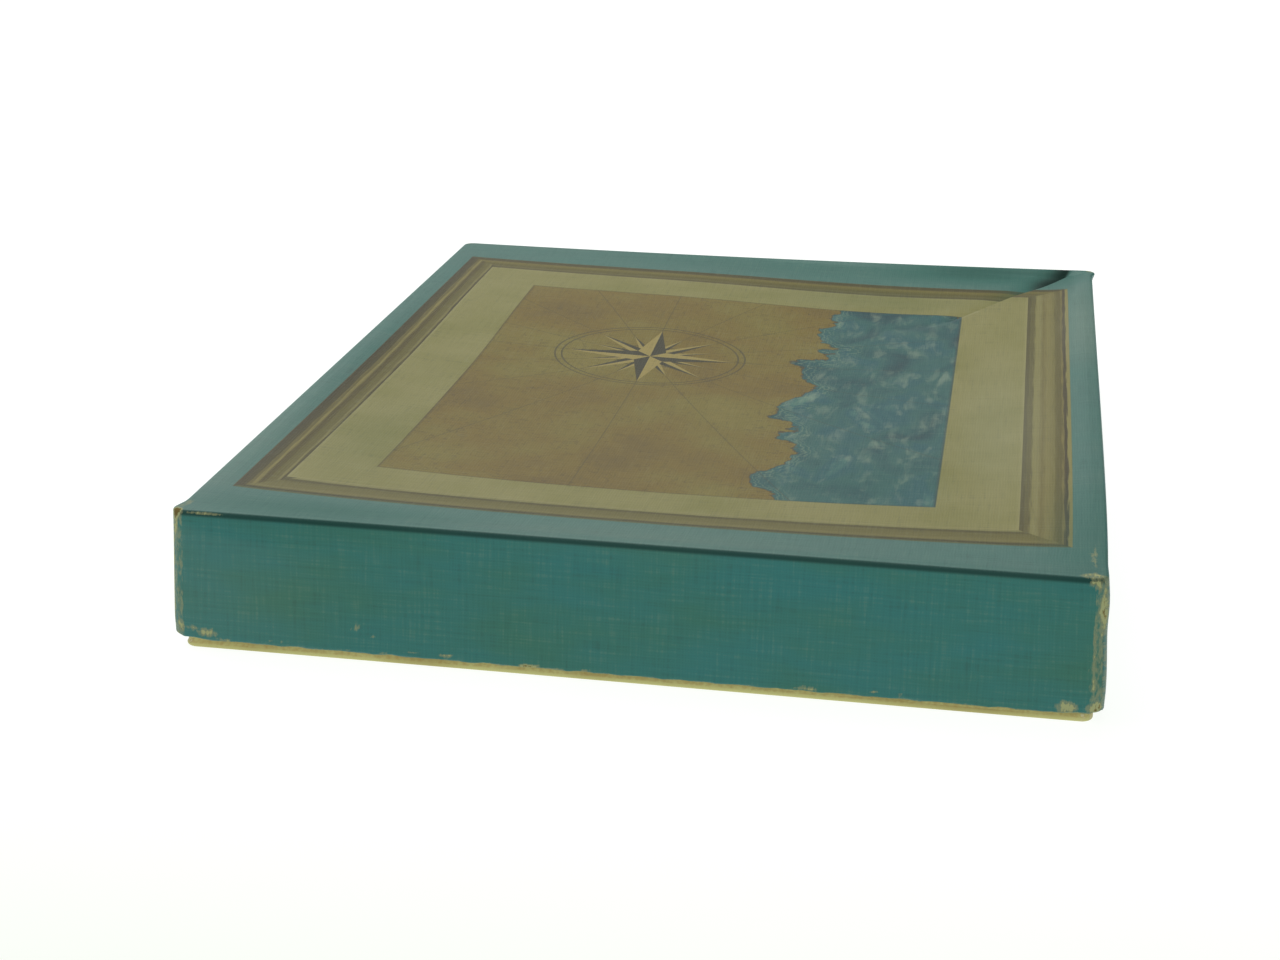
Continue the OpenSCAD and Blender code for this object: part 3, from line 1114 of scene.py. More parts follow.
@dataclass(frozen=True)
class Plan:
    """The rounded rectangle that a box half is folded round.

    Attributes:
        width: Outside size along X.
        length: Outside size along Y.
        radius: Outside radius of the upright corners.
        pitch: Size of a mesh cell.
        corner_cells: Cells across a corner's square.
        least_radius: The smallest radius that an inner ring may have.
        crack: A crack that a column of cells is led along.
    """

    width: float
    length: float
    radius: float
    pitch: float = 3.2
    corner_cells: int = 5
    least_radius: float = 0.15
    crack: "Crack | None" = None

    def stations(self, side: float, stops: Sequence[float] = ()) -> np.ndarray:
        """Divides a side: for each station, its straight part and its share of the corner square.

        Args:
            side: Length of the side.
            stops: Places that a station has to fall on.

        Returns:
            Two rows: the straight part and the share of each station.
        """
        straight = side / 2 - self.radius
        marks = (-straight, *stops, straight)
        cells = [max(1, round((b - a) / self.pitch)) for a, b in zip(marks, marks[1:])]
        parts = [np.linspace(a, b, n + 1)[:-1] for a, b, n in zip(marks, marks[1:], cells)]
        bases = np.concatenate([*parts, [straight]])
        shares = np.arange(1, self.corner_cells + 1) / self.corner_cells
        base = np.concatenate([np.full(len(shares), -straight), bases, np.full(len(shares), straight)])
        share = np.concatenate([-shares[::-1], np.zeros(len(bases)), shares])
        return np.stack([base, share])

    def lattice(self) -> Lattice:
        """Lays out the stations and their border.

        Returns:
            The lattice.
        """
        across = self.stations(self.width, self.crack.columns() if self.crack else ())
        along = self.stations(self.length)
        right, back = across.shape[1] - 1, along.shape[1] - 1
        step_x, step_y = np.arange(right), np.arange(back)
        columns = [step_x, np.full(back, right), right - step_x, np.zeros(back, int)]
        rows = [np.zeros(right, int), step_y, np.full(right, back), back - step_y]
        sides = np.repeat([0, 1, 2, 3], [right, back, right, back])
        return Lattice(across, along, np.concatenate(columns), np.concatenate(rows), sides)

    def ring(self, net: Lattice, spots: Sequence[np.ndarray], step: tuple[float, float]) -> np.ndarray:
        """Places points of the lattice on the plan, shrunk by an inset.

        Args:
            net: The lattice.
            spots: Columns and rows of the points.
            step: The inset, and their height.

        Returns:
            One row per point.
        """
        reach = max(self.radius - step[0], self.least_radius)
        (ax, fx), (ay, fy) = net.across[:, spots[0]], net.along[:, spots[1]]
        x = ax + reach * fx * np.sqrt(1 - fy**2 / 2)
        y = ay + reach * fy * np.sqrt(1 - fx**2 / 2)
        return np.stack([x, y, np.full_like(x, step[1])], 1)

    def laid_flat(self, net: Lattice, profile: Profile) -> list[np.ndarray]:
        """Lays the folded walls flat, each side straight out from its border.

        Args:
            net: The lattice.
            profile: The profile that is swept.

        Returns:
            For each stretch of the profile, where the corners of its faces lie.
        """
        runs = np.concatenate([[0], np.cumsum(np.hypot(*np.diff(np.array(profile), axis=0).T))])
        (ax, fx), (ay, fy) = net.across[:, net.columns], net.along[:, net.rows]
        flat_x = ax + self.radius * np.arcsin(fx / math.sqrt(2))
        flat_y = ay + self.radius * np.arcsin(fy / math.sqrt(2))
        half_w, half_l = self.width / 2 - profile[0][0], self.length / 2 - profile[0][0]
        laid = []
        for near, far in zip(runs, runs[1:]):
            corners = []
            for away, step in ((far, 0), (far, 1), (near, 1), (near, 0)):
                u, v = np.roll(flat_x, -step), np.roll(flat_y, -step)
                out_w, out_l = np.full(len(u), half_w + away), np.full(len(u), half_l + away)
                spot_x = np.choose(net.sides, [u, out_w, u, -out_w])
                spot_y = np.choose(net.sides, [-out_l, v, out_l, v])
                corners.append(np.stack([spot_x, spot_y], 1))
            laid.append(np.stack(corners, 1))
        return laid

    def fold(self, profile: Profile) -> Sheet:
        """Sweeps a profile round the plan, with a flat panel over each end of it.

        Args:
            profile: Inset and height of each ring, from the outer panel's border round
                to the inner panel's.

        Returns:
            The closed sheet, its open side down.
        """
        net = self.lattice()
        # points: the outer panel, the rings of the walls, the inner panel
        nx, ny = net.across.shape[1], net.along.shape[1]
        grid_x, grid_y = np.meshgrid(np.arange(nx), np.arange(ny))
        everywhere, border = (grid_x.ravel(), grid_y.ravel()), (net.columns, net.rows)
        outer, inner = (self.ring(net, everywhere, profile[end]) for end in (0, -1))
        walls = [self.ring(net, border, step) for step in profile[1:-1]]
        points = np.concatenate([outer, *walls, inner])
        rim = net.rows * nx + net.columns
        first_inner = len(outer) + len(rim) * len(walls)
        between = [len(outer) + len(rim) * k + np.arange(len(rim)) for k in range(len(walls))]
        rings = [rim, *between, rim + first_inner]

        # faces in the same order; the inner panel's face the other way
        corner = (np.arange(ny - 1)[:, None] * nx + np.arange(nx - 1)).ravel()
        panel = np.stack([corner, corner + 1, corner + 1 + nx, corner + nx], 1)
        under = panel[:, ::-1] + first_inner
        after = np.roll(np.arange(len(rim)), -1)
        folded = [np.stack([low, low[after], up[after], up], 1) for up, low in zip(rings, rings[1:])]
        faces = np.concatenate([panel, *folded, under])
        flat = [points[panel][:, :, :2], *self.laid_flat(net, profile), points[under][:, :, :2]]
        blank = np.concatenate(flat)
        if self.crack:
            points[:, 0] = self.crack.lead(points[:, 0], points[:, 1])
            blank[:, :, 0] = self.crack.lead(blank[:, :, 0], blank[:, :, 1])
        return Sheet(points, faces, blank)


def bend(centre: tuple[float, float], radius: float, start: float, end: float, steps: int = 5) -> Profile:
    """Gives points along an arc of a profile; angles in degrees, 90 pointing up and 180 outwards."""
    angles = [math.radians(start + (end - start) * k / steps) for k in range(steps + 1)]
    return [(centre[0] + radius * math.cos(a), centre[1] + radius * math.sin(a)) for a in angles]


def run(start: tuple[float, float], end: tuple[float, float], pitch: float) -> Profile:
    """Gives points along a straight stretch of a profile, its ends left out.

    Args:
        start: Where the stretch starts.
        end: Where it ends.
        pitch: Spacing of the points.

    Returns:
        The points between.
    """
    steps = max(1, round(math.dist(start, end) / pitch))
    return [(start[0] + (end[0] - start[0]) * k / steps, start[1] + (end[1] - start[1]) * k / steps)
            for k in range(1, steps)]


@dataclass(frozen=True)
class BoxHalf:
    """One half of the box, open side down: board with paper folded over it.

    Attributes:
        plan: Its outline.
        low: Height of the open edge.
        high: Height of the closed face.
        edge: Radius of the edge round the closed face.
        board: Thickness of the greyboard.
        paper: Thickness of the wrap.
        turn_in: How far the wrap runs up the inside.
        lip: Radius that the wrap turns round the open edge with.
        curled: Height of the part above the open edge that has the finest cells.
        board_edge: Radius of the board's own cut edge.
    """

    plan: Plan
    low: float
    high: float
    edge: float = 1.3
    board: float = 2.0
    paper: float = 0.25
    turn_in: float = 16.0
    lip: float = 1.0
    curled: float = 6.0
    board_edge: float = 0.6

    def skin(self) -> Sheet:
        """Folds the wrap: over the closed face, down the wall, round the lip and up inside.

        Returns:
            The wrap.
        """
        wall, t = self.board + 2 * self.paper, self.paper
        crest, foot, reach = self.high - self.edge, self.low + self.lip, self.low + self.turn_in
        outer = bend((self.edge, crest), self.edge, 90, 180)
        knee = (0, foot + self.curled)
        outer += run((0, crest), knee, 3.0) + [knee] + run(knee, (0, foot), 1.1)
        outer += bend((self.lip, foot), self.lip, 180, 270, 4)
        outer += bend((wall - self.lip, foot), self.lip, 270, 360, 4)
        outer += run((wall, foot), (wall, reach), 3.5) + [(wall, reach)]
        inner = [(wall - t, reach)] + run((wall - t, reach), (wall - t, foot), 5)
        inner += bend((wall - self.lip, foot), self.lip - t, 360, 270, 3)
        inner += bend((self.lip, foot), self.lip - t, 270, 180, 3)
        inner += run((t, foot), (t, crest), 6) + bend((self.edge, crest), self.edge - t, 180, 90, 4)
        return self.plan.fold(outer + inner)

    def core(self) -> Sheet:
        """Folds the greyboard that the wrap is glued to.

        Returns:
            The board.
        """
        t, depth, ceiling = self.paper, self.paper + self.board, self.high - self.paper - self.board
        r, fold = self.board_edge, 0.5
        crest, foot = self.high - self.edge, self.low + t + r
        profile = bend((self.edge, crest), self.edge - t, 90, 180, 4)
        profile += run((t, crest), (t, foot), 5) + bend((t + r, foot), r, 180, 270, 3)
        profile += bend((depth - r, foot), r, 270, 360, 3)
        profile += run((depth, foot), (depth, ceiling - fold), 4)
        profile += [(depth, ceiling - fold), (depth + fold, ceiling)]
        return self.plan.fold(profile)

    def tapes(self, leg: float, thickness: float) -> Sheet:
        """Lays a stay tape round each upright corner, between board and wrap.

        Args:
            leg: Length of tape on each wall.
            thickness: Thickness of the tape.

        Returns:
            The four tapes.
        """
        top, bottom = self.high - self.edge - 0.9, self.low + 2
        reach = self.plan.radius - self.paper
        straight = leg - self.plan.radius
        cells, arc = 5, np.radians(np.linspace(0, 90, 11))
        ones, zeros = np.ones(cells), np.zeros(cells)
        legs_x = np.concatenate([ones, np.cos(arc), zeros])
        legs_y = np.concatenate([zeros, np.sin(arc), ones])
        back = np.linspace(1, 0, cells + 1)[:-1] * straight
        slide_y = np.concatenate([-back, np.zeros(len(arc)), zeros])
        slide_x = np.concatenate([zeros, np.zeros(len(arc)), -back[::-1]])
        rows = np.linspace(top, bottom, 10)
        middle_x = self.plan.width / 2 - self.plan.radius
        middle_y = self.plan.length / 2 - self.plan.radius
        points, faces = [], []
        for sign_x, sign_y in ((1, 1), (-1, 1), (-1, -1), (1, -1)):
            start = sum(map(len, points))
            for depth in (0, thickness):
                x = middle_x + slide_x + (reach - depth) * legs_x
                y = middle_y + slide_y + (reach - depth) * legs_y
                for z in rows:
                    points.append(np.stack([sign_x * x, sign_y * y, np.full_like(x, z)], 1))
            faces.append(slab_faces(len(legs_x), len(rows), sign_x * sign_y > 0) + start)
        all_faces = np.concatenate(faces)
        joined = np.concatenate(points)
        return Sheet(joined, all_faces, joined[all_faces][:, :, [0, 2]])


def slab_faces(columns: int, rows: int, clockwise: bool) -> np.ndarray:
    """Gives the faces of a thin slab: an outer lattice, then an inner one of the same size.

    Args:
        columns: Points along a row of the lattice.
        rows: Rows, from the top down.
        clockwise: Turns every face over.

    Returns:
        Four vertex numbers per face.
    """
    first = (np.arange(rows - 1)[:, None] * columns + np.arange(columns - 1)).ravel()
    outer = np.stack([first + columns, first + columns + 1, first + 1, first], 1)
    under = rows * columns
    inner = outer[:, ::-1] + under
    top, left = np.arange(columns), np.arange(rows) * columns
    right, bottom = left + columns - 1, top + (rows - 1) * columns
    rim = np.concatenate([top[:-1], right[:-1], bottom[:0:-1], left[:0:-1]])
    after = np.roll(rim, -1)
    edge = np.stack([rim, after, after + under, rim + under], 1)
    faces = np.concatenate([outer, inner, edge])
    return faces if clockwise else faces[:, ::-1]


# ---- age -------------------------------------------------------------------


def ease(values: np.ndarray, low: float, high: float) -> np.ndarray:
    """Eases from 0 to 1 as the values go from low to high, or back where high is the lower."""
    share = np.clip((values - low) / (high - low), 0, 1)
    return share * share * (3 - 2 * share)


@dataclass(frozen=True)
class Crack:
    """Where the lid's back right corner has cracked up: a straight line on its plan. Millimetres.

    Attributes:
        corner: Where the line meets the back edge.
        end: Where it starts to fade.
        bank: Width of the bank between the sunken and the raised side.
        fade: How wide the bank has become well past the end.
        column: The column of mesh cells that is led along the line.
        margin: How far from the lid's middle the leading reaches.
    """

    corner: tuple[float, float] = (162.5, 240.8)
    end: tuple[float, float] = (106.4, 150.8)
    bank: float = 3.5
    fade: float = 110.0
    column: float = 100.0
    margin: float = 165.0

    def columns(self) -> tuple[float, float]:
        """Gives the mesh columns that have to lie at the bank's foot and at its crest."""
        return self.column - self.bank, self.column

    def crest(self, y: np.ndarray) -> np.ndarray:
        """Gives the line's X at each Y; past the corner it runs straight back."""
        slope = (self.corner[0] - self.end[0]) / (self.corner[1] - self.end[1])
        short_of_edge = np.minimum(y, self.corner[1] - 1.0)
        return self.end[0] + (short_of_edge - self.end[1]) * slope

    def raised(self, x: np.ndarray, y: np.ndarray) -> np.ndarray:
        """Is 0 on the sunken side, 1 on the raised side, and eases over the bank."""
        width = self.bank + self.fade * ease(y, self.end[1] - 5, self.end[1] - 90)
        return ease(x - self.crest(y), -width, 0)

    def groove(self, x: np.ndarray, y: np.ndarray, reach: float) -> np.ndarray:
        """Is 1 at the bank's foot and fades within the reach of it on the sunken side.

        Args:
            x: First coordinate on the plan.
            y: Second coordinate on the plan.
            reach: How far the groove spreads.

        Returns:
            Its depth, from 0 to 1.
        """
        apart = self.crest(y) - self.bank - x
        away = np.where(apart < 0, -apart / self.bank, apart / reach)
        return np.clip(1 - away, 0, 1) ** 2 * ease(y, self.end[1] - 30, self.end[1] + 10)

    def lead(self, x: np.ndarray, y: np.ndarray) -> np.ndarray:
        """Shifts points of a flat lattice sideways, so that one column runs along the line.

        Args:
            x: First coordinate on the plan.
            y: Second coordinate on the plan.

        Returns:
            The shifted first coordinate.
        """
        shift = (self.crest(y) - self.column) * ease(y, self.end[1] - 210, self.end[1] - 50)
        foot, crest = self.columns()
        left = shift * (x + self.margin) / (foot + self.margin)
        right = shift * (self.margin - x) / (self.margin - crest)
        moved = np.where(x < foot, left, np.where(x < crest, shift, right))
        return np.where(np.abs(x) < self.margin, x + moved, x)


@dataclass(frozen=True)
class Settling:
    """How the old lid has sunk, sprung and been knocked out of true. Millimetres.

    Attributes:
        half_w: Half the lid's width.
        half_l: Half its length.
        low: Height of its lower edge.
        high: Height of its top.
        crack: The crack that cuts off its back right corner.
        dish: Depth that the top has sunk in the middle.
        dish_rim: Flat border round the sunken part.
        firm: Share of that depth that the back left has held back.
        sprung: How far the back right corner stands up.
        slump: How far the sheet hangs between that corner's edges.
        hollow: Where it hangs lowest.
        hollow_reach: How far round that place it hangs.
        groove: Depth of the groove along the crack.
        tip: How far the very corner is pinched out to the side.
        flare: How far the lower edges of the sides spread.
        drawn: How far the front right corner's top is drawn in.
        knock: How far that corner bulges below its top.
        ear: How far the front left corner stands out to the side.
        waist: How far the rest of the left side is drawn in.
        hem: How far the lower edge hangs at the front right.
        tuck: How far the lower corners curl up and in.
    """

    half_w: float
    half_l: float
    low: float
    high: float
    crack: Crack
    dish: float = 10.0
    dish_rim: float = 7.5
    firm: float = 0.52
    sprung: float = 4.4
    slump: float = 2.0
    hollow: tuple[float, float] = (154.0, 226.0)
    hollow_reach: float = 48.0
    groove: float = 1.0
    tip: float = 1.8
    flare: float = 1.0
    drawn: float = 2.0
    knock: float = 1.0
    ear: float = 1.4
    waist: float = 0.6
    hem: float = 1.3
    tuck: float = 0.9

    def top(self, x: np.ndarray, y: np.ndarray) -> np.ndarray:
        """Gives how far the lid's top has moved up at a point of its plan.

        Args:
            x: First coordinate on the plan.
            y: Second coordinate on the plan.

        Returns:
            The move in millimetres.
        """
        u = np.clip(x / (2 * self.half_w) + 0.5, 0, 1)
        v = np.clip(y / (2 * self.half_l) + 0.5, 0, 1)
        a = np.clip(1 - (x / (self.half_w - self.dish_rim)) ** 2, 0, 1)
        b = np.clip(1 - (y / (self.half_l - self.dish_rim)) ** 2, 0, 1)
        raised = self.crack.raised(x, y)
        rim = ease(y, self.half_l - 6, self.half_l - 0.5)
        held = 0.68 + 0.32 * ease(x, self.half_w - 32, self.half_w)
        lift = self.sprung * u**2 * v**2 * (rim + (1 - rim) * held * raised)
        firm = self.firm * ease(u, 0.75, 0.35) * ease(v, 0.5, 0.82)
        sunk = self.dish * (a * b) ** 0.7 * (1 - firm)
        slack = ease(np.hypot(x - self.hollow[0], y - self.hollow[1]), self.hollow_reach, 5)
        slack *= ease(x, self.half_w, self.half_w - 11)
        slack *= ease(y, self.half_l - 1, self.half_l - 5) * raised
        groove = (1 - rim) * self.crack.groove(x, y, 16)
        return lift - sunk - self.slump * slack - self.groove * groove

    def settle(self, points: np.ndarray) -> np.ndarray:
        """Moves the lid's points to where age has left them.

        Args:
            points: Points of the lid as it was made.

        Returns:
            The same points on the worn lid.
        """
        x, y, z = points.T.copy()
        made_x, made_y, made_z = points.T
        share = np.clip((made_z - self.low) / (self.high - self.low), 0, 1)
        x += self.sideways(made_x, made_y + self.half_l, share)
        corner = np.hypot(self.half_w - np.abs(made_x), self.half_l - np.abs(made_y))
        # the raised corner's tip is pinched out
        tip = self.tip * ease(corner, 12, 3) * ease(made_z, self.high - 4.5, self.high - 0.5)
        x += tip * (made_x > 0) * (made_y > 0)
        # the lower corners curl up and in
        curl = self.tuck * ease(corner, 14, 2) * ease(made_z, self.low + 9, self.low)
        x -= np.sign(made_x) * 0.5 * curl
        y -= np.sign(made_y) * 0.3 * curl
        # the end walls bulge in and out between their edges
        bulge = np.sin(made_y / 47 + 1) * np.sin(made_x / 39) * ease(share, 0, 0.5) * ease(share, 1, 0.5)
        y += np.sign(made_y) * 0.35 * bulge
        # the top has moved, the front hangs, and the lower edge is nibbled
        u = np.clip(made_x / (2 * self.half_w) + 0.5, 0, 1)
        v = np.clip(made_y / (2 * self.half_l) + 0.5, 0, 1)
        z += self.top(made_x, made_y)
        z -= self.hem * (0.2 + 0.8 * u) * (1 - v) ** 2 * (1 - share)
        z += curl
        along = made_x + made_y
        nibble = np.sin(0.9 * along) * np.sin(0.37 * along + 1.1) + 0.6 * np.sin(2.3 * along + 0.4)
        z += 0.22 * nibble * ease(made_z, self.low + 4, self.low)
        return np.stack([x, y, z], 1)

    def sideways(self, x: np.ndarray, from_front: np.ndarray, share: np.ndarray) -> np.ndarray:
        """Gives how far the long walls have moved along X.

        Args:
            x: Where the points lie across the lid.
            from_front: How far behind the front wall they lie.
            share: How high up the wall they lie, from 0 to 1.

        Returns:
            The move in millimetres.
        """
        left, right = ease(-x, 120, self.half_w), ease(x, 100, self.half_w)
        flare = np.sign(x) * self.flare * (1 - share) ** 1.5 * ease(np.abs(x), 120, self.half_w)
        waist = left * (self.waist - (self.waist + self.ear) * ease(from_front, 14, 4))
        drawn = self.drawn * right * ease(share, 0.2, 1) * np.exp(-from_front / 70)
        knock = self.knock * right**4 * np.exp(-(((share - 0.82) / 0.17) ** 2)) * ease(from_front, 22, 5)
        return flare + waist - drawn + knock


@dataclass(frozen=True)
class Scuff:
    """One worn spot: an ellipsoid, in millimetres, its height counted from the lid's lower edge."""

    at: tuple[float, float, float]
    reach: tuple[float, float, float]
    strength: float = 1.0

    def apart(self, points: np.ndarray) -> np.ndarray:
        """Gives how far each point is from the middle, as a share of the reach."""
        return np.sqrt((((points - self.at) / self.reach) ** 2).sum(1))

    def wear(self, points: np.ndarray) -> np.ndarray:
        """Gives the wear that this spot adds at each point."""
        return self.strength * ease(self.apart(points), 1.25, 0.35)


def front_scuff(x: float, z: float, wide: float, tall: float, strength: float) -> Scuff:
    """Puts a worn spot on the lid's front wall, given half its width and half its height."""
    return Scuff((x, LID_FRONT, z), (wide, 3, tall), strength)


@dataclass(frozen=True)
class ToneSheenShadeSpot(Scuff):
    """A broad spot drawn paler (above 0) or darker (below 0): partly bleaching by light and soiling by hands,
    partly painted sheen and painted shade.
    """

    def wear(self, points: np.ndarray) -> np.ndarray:
        """Gives the tone that this spot adds at each point, fading softly to its reach."""
        return self.strength * ease(self.apart(points), 1.0, 0.0)


def corner_wear(points: np.ndarray, half: BoxHalf, strengths: Sequence[float]) -> np.ndarray:
    """Gives the wear down the four upright corners.

    Args:
        points: Points of the box half as made.
        half: The box half.
        strengths: Wear of the front left, front right, back right and back left corners.

    Returns:
        Wear from 0 to 1.
    """
    x, y = points[:, 0], points[:, 1]
    apart = np.hypot(half.plan.width / 2 - np.abs(x), half.plan.length / 2 - np.abs(y))
    ridge = ease(apart, 5.7, 4.6)
    which = np.where(y < 0, np.where(x < 0, 0, 1), np.where(x > 0, 2, 3))
    return ridge * np.array(strengths)[which]


def edge_wear(points: np.ndarray, height: float, reach: float) -> np.ndarray:
    """Gives wear that fades with the distance from a height."""
    return ease(np.abs(points[:, 2] - height), reach, 0)


# ---- the box ---------------------------------------------------------------


@dataclass
class Lid:
    """The lid: printed wrap, greyboard, stay tapes and lining, all settled alike.

    Attributes:
        corner_radius: Outside radius of its upright corners.
        turn_in: How far its wrap runs up the inside.
        lining_inset: From the outside of the lid to its lining.
        lining: Thickness of the lining and of the tapes.
        stay_leg: Length of tape on each wall.
        scuffs: Where the print is worn off.
        tone_sheen_shade_spots: Where the print is drawn paler or darker: partly bleaching and soiling, partly
            painted sheen and painted shade.
        half: Its shape as made.
        settling: What age has done to that shape.
    """

    corner_radius: float = 5.5
    turn_in: float = 16.0
    lining_inset: float = 7.5
    lining: float = 0.2
    stay_leg: float = 24.0
    scuffs: tuple[Scuff, ...] = (
        Scuff((-168.0, -241.3, 6.0), (2.4, 2.5, 7.0), 0.74),
        front_scuff(-164.2, 4.6, 2.4, 2.2, 0.85),
        front_scuff(-157.8, 3.0, 5.5, 2.6, 0.8),
        front_scuff(-155.3, 3.4, 2.0, 2.0, 1.05),
        front_scuff(-150.5, 0.8, 3.4, 1.4, 0.85),
        front_scuff(-132.7, 1.7, 4.5, 0.8, 0.72),
        front_scuff(-116.0, 1.5, 2.6, 0.7, 0.62),
        front_scuff(-106.0, 1.3, 4.6, 0.7, 0.66),
        front_scuff(-101.8, 10.7, 1.2, 1.4, 0.62),
        front_scuff(-95.7, 7.7, 1.2, 1.8, 0.64),
        front_scuff(-91.0, 1.1, 2.6, 0.7, 0.62),
        front_scuff(-81.0, 2.3, 3.6, 0.8, 0.62),
        front_scuff(-75.0, 0.6, 1.6, 0.6, 0.7),
        front_scuff(-67.4, 1.9, 3.8, 1.2, 0.86),
        front_scuff(-36.6, 0.8, 5.4, 1.2, 1.0),
        front_scuff(-25.0, 0.6, 2.0, 0.6, 0.8),
        front_scuff(-16.4, 0.8, 2.8, 0.7, 0.72),
        front_scuff(7.0, 48.4, 3.0, 0.8, 0.8),
        front_scuff(65.0, 1.3, 5.8, 1.2, 0.82),
        front_scuff(90.8, 2.2, 2.6, 1.1, 0.86),
        front_scuff(99.0, 1.6, 3.0, 0.9, 0.76),
        front_scuff(126.0, 1.6, 3.6, 0.8, 0.62),
        front_scuff(158.0, 2.6, 5.6, 3.4, 0.84),
        front_scuff(157.5, 0.2, 10.0, 0.6, 0.9),
        Scuff((168.8, -240.4, 2.5), (4.8, 4, 3.6), 0.9),
        front_scuff(166.6, 14.0, 0.9, 18.0, 0.66),
        Scuff((170.2, -240.0, 39.0), (3.2, 3.4, 13.0), 0.92),
        Scuff((166.8, -241.3, 48.6), (4.6, 2, 1.6), 0.86),
        Scuff((166.0, -238.4, 50.4), (5.4, 4.0, 1.5), 0.84),
        Scuff((166.8, -217.0, 50.5), (1.3, 17.0, 2.0), 0.66),
        Scuff((-170.9, -239.0, 24.0), (1.4, 4.0, 30.0), 0.82),
        Scuff((-169.6, -241.0, 44.0), (1.2, 2.5, 9.0), 0.9),
        Scuff((-169.2, -240.2, 49.8), (3.4, 3.4, 2.2), 1.12),
        Scuff((-158.0, -241.3, 49.9), (9.0, 2, 0.7), 0.66),
        Scuff((-168.5, -234.0, 50.5), (2.2, 9.0, 1.5), 0.66),
        Scuff((169.5, 239.5, 47.4), (4.0, 4.0, 5.0), 1.1),
        Scuff((-169.5, 239.5, 48.4), (3.0, 3.0, 4.0), 0.9),
        Scuff((171.5, 90, 0.6), (3, 14.0, 1.2), 0.7),
        Scuff((171.5, -60, 0.6), (3, 24.0, 1.0), 0.7),
        Scuff((-171.5, 30, 0.7), (3, 30.0, 1.2), 0.7),
        Scuff((-171.5, -150, 1.9), (3, 6.0, 2.4), 0.8),
        Scuff((40, 241.5, 0.6), (22.0, 3, 1.2), 0.7),
        Scuff((-110, 241.5, 1.6), (7.0, 3, 2.2), 0.8),
        Scuff((90, 241.5, 49.0), (9.0, 3, 1.0), 0.7),
    )
    # Spots above 0 are drawn paler, partly bleaching and partly painted sheen; spots below 0 are drawn
    # darker, partly soiling and partly painted shade.
    tone_sheen_shade_spots: tuple[ToneSheenShadeSpot, ...] = (
        ToneSheenShadeSpot((-168, -150, 50), (16, 150, 30), 0.07),
        ToneSheenShadeSpot((-120, -228, 50), (80, 26, 14), -0.4),
        ToneSheenShadeSpot((0, -225, 50), (90, 30, 12), 0.04),
        ToneSheenShadeSpot((165, -200, 50), (24, 110, 12), -0.34),
        ToneSheenShadeSpot((165, 130, 50), (16, 120, 30), 0.16),
        ToneSheenShadeSpot((10, 230, 50), (120, 26, 14), -0.2),
        ToneSheenShadeSpot((112, 234, 50), (80, 28, 14), -0.6),
        ToneSheenShadeSpot((-160, -243, 25), (70, 6, 60), 0.05),
        ToneSheenShadeSpot((-128, -120, 50), (30, 90, 30), -0.08),
        ToneSheenShadeSpot((60, 178, 50), (90, 30, 30), -0.16),
        ToneSheenShadeSpot((80, -130, 45), (60, 50, 30), -0.14),
        ToneSheenShadeSpot((128, -40, 45), (30, 170, 30), 0.14),
    )
    half: BoxHalf = field(init=False)
    settling: Settling = field(init=False)

    def __post_init__(self) -> None:
        """Takes the lid's size from the frame."""
        low, high = (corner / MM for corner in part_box("lid_wrap"))
        crack = Crack()
        plan = Plan(high.x - low.x, high.y - low.y, self.corner_radius, crack=crack)
        self.half = BoxHalf(plan, low.z, high.z, turn_in=self.turn_in)
        self.settling = Settling(plan.width / 2, plan.length / 2, low.z, high.z, crack)

    def wear(self, points: np.ndarray) -> np.ndarray:
        """Gives the wear of the wrap: its corners, its edges and each scuff.

        Args:
            points: Points of the lid as it was made.

        Returns:
            Wear of each point, from 0 up.
        """
        worn = [
            corner_wear(points, self.half, (0.5, 0.56, 0.66, 0.52)),
            edge_wear(points, self.half.low, 1.3) * 0.58,
            edge_wear(points, self.half.high - 0.4, 0.5) * 0.12,
            *(scuff.wear(points - (0, 0, self.half.low)) for scuff in self.scuffs),
        ]
        return np.max(worn, axis=0)

    def tone(self, points: np.ndarray) -> np.ndarray:
        """Gives the tone of the wrap: each spot, and painted shade along the sunken side of the crack.

        Args:
            points: Points of the lid as it was made.

        Returns:
            Tone of each point.
        """
        local = points - (0, 0, self.half.low)
        crack = self.settling.crack
        on_top = points[:, 2] > self.half.high - 2
        # Painted shade: the sunken side of the crack, along the foot of its bank, is drawn darker.
        crease_shade = crack.groove(points[:, 0], points[:, 1], 22) * ease(points[:, 1], 175, 225) * on_top
        return sum(bloom.wear(local) for bloom in self.tone_sheen_shade_spots) - 0.9 * crease_shade

    def build(self) -> list[bpy.types.Object]:
        """Makes the lid's pieces.

        Returns:
            The wrap, the board, the tapes and the lining.
        """
        settle, plan = self.settling.settle, self.half.plan
        wrap, core = self.half.skin(), self.half.core()
        tapes = self.half.tapes(self.stay_leg, self.lining)
        width, length = plan.width - 2 * self.lining_inset, plan.length - 2 * self.lining_inset
        flat = Plan(width, length, 1.0, corner_cells=2, crack=plan.crack)
        above = self.half.high - self.half.paper - self.half.board
        below, bevel = above - self.lining, 0.05
        lining = flat.fold([(bevel, above), (0, above - bevel), (0, below + bevel), (bevel, below)])
        printed, white = PrintedLinen().material(), PlainPaper("white_lining_paper")
        aged = {WEAR: self.wear(wrap.points), TONE: self.tone(wrap.points)}
        made = [
            wrap.piece("lid_printed_wrap", settle(wrap.points), printed, aged),
            core.piece("lid_greyboard_shell", settle(core.points), Greyboard().material()),
            tapes.piece("lid_stay_tapes", settle(tapes.points), KraftTape().material()),
            lining.piece("lid_lining_sheet", settle(lining.points), white.material()),
        ]
        nodes = ("lid_wrap", "lid_board", "lid_corner_stays", "lid_lining")
        slots = ("teal_linen_paper", "greyboard", "kraft_tape", "white_lining_paper")
        for piece, node, slot in zip(made, nodes, slots):
            dress(piece, "lid", slot, node)
        return made


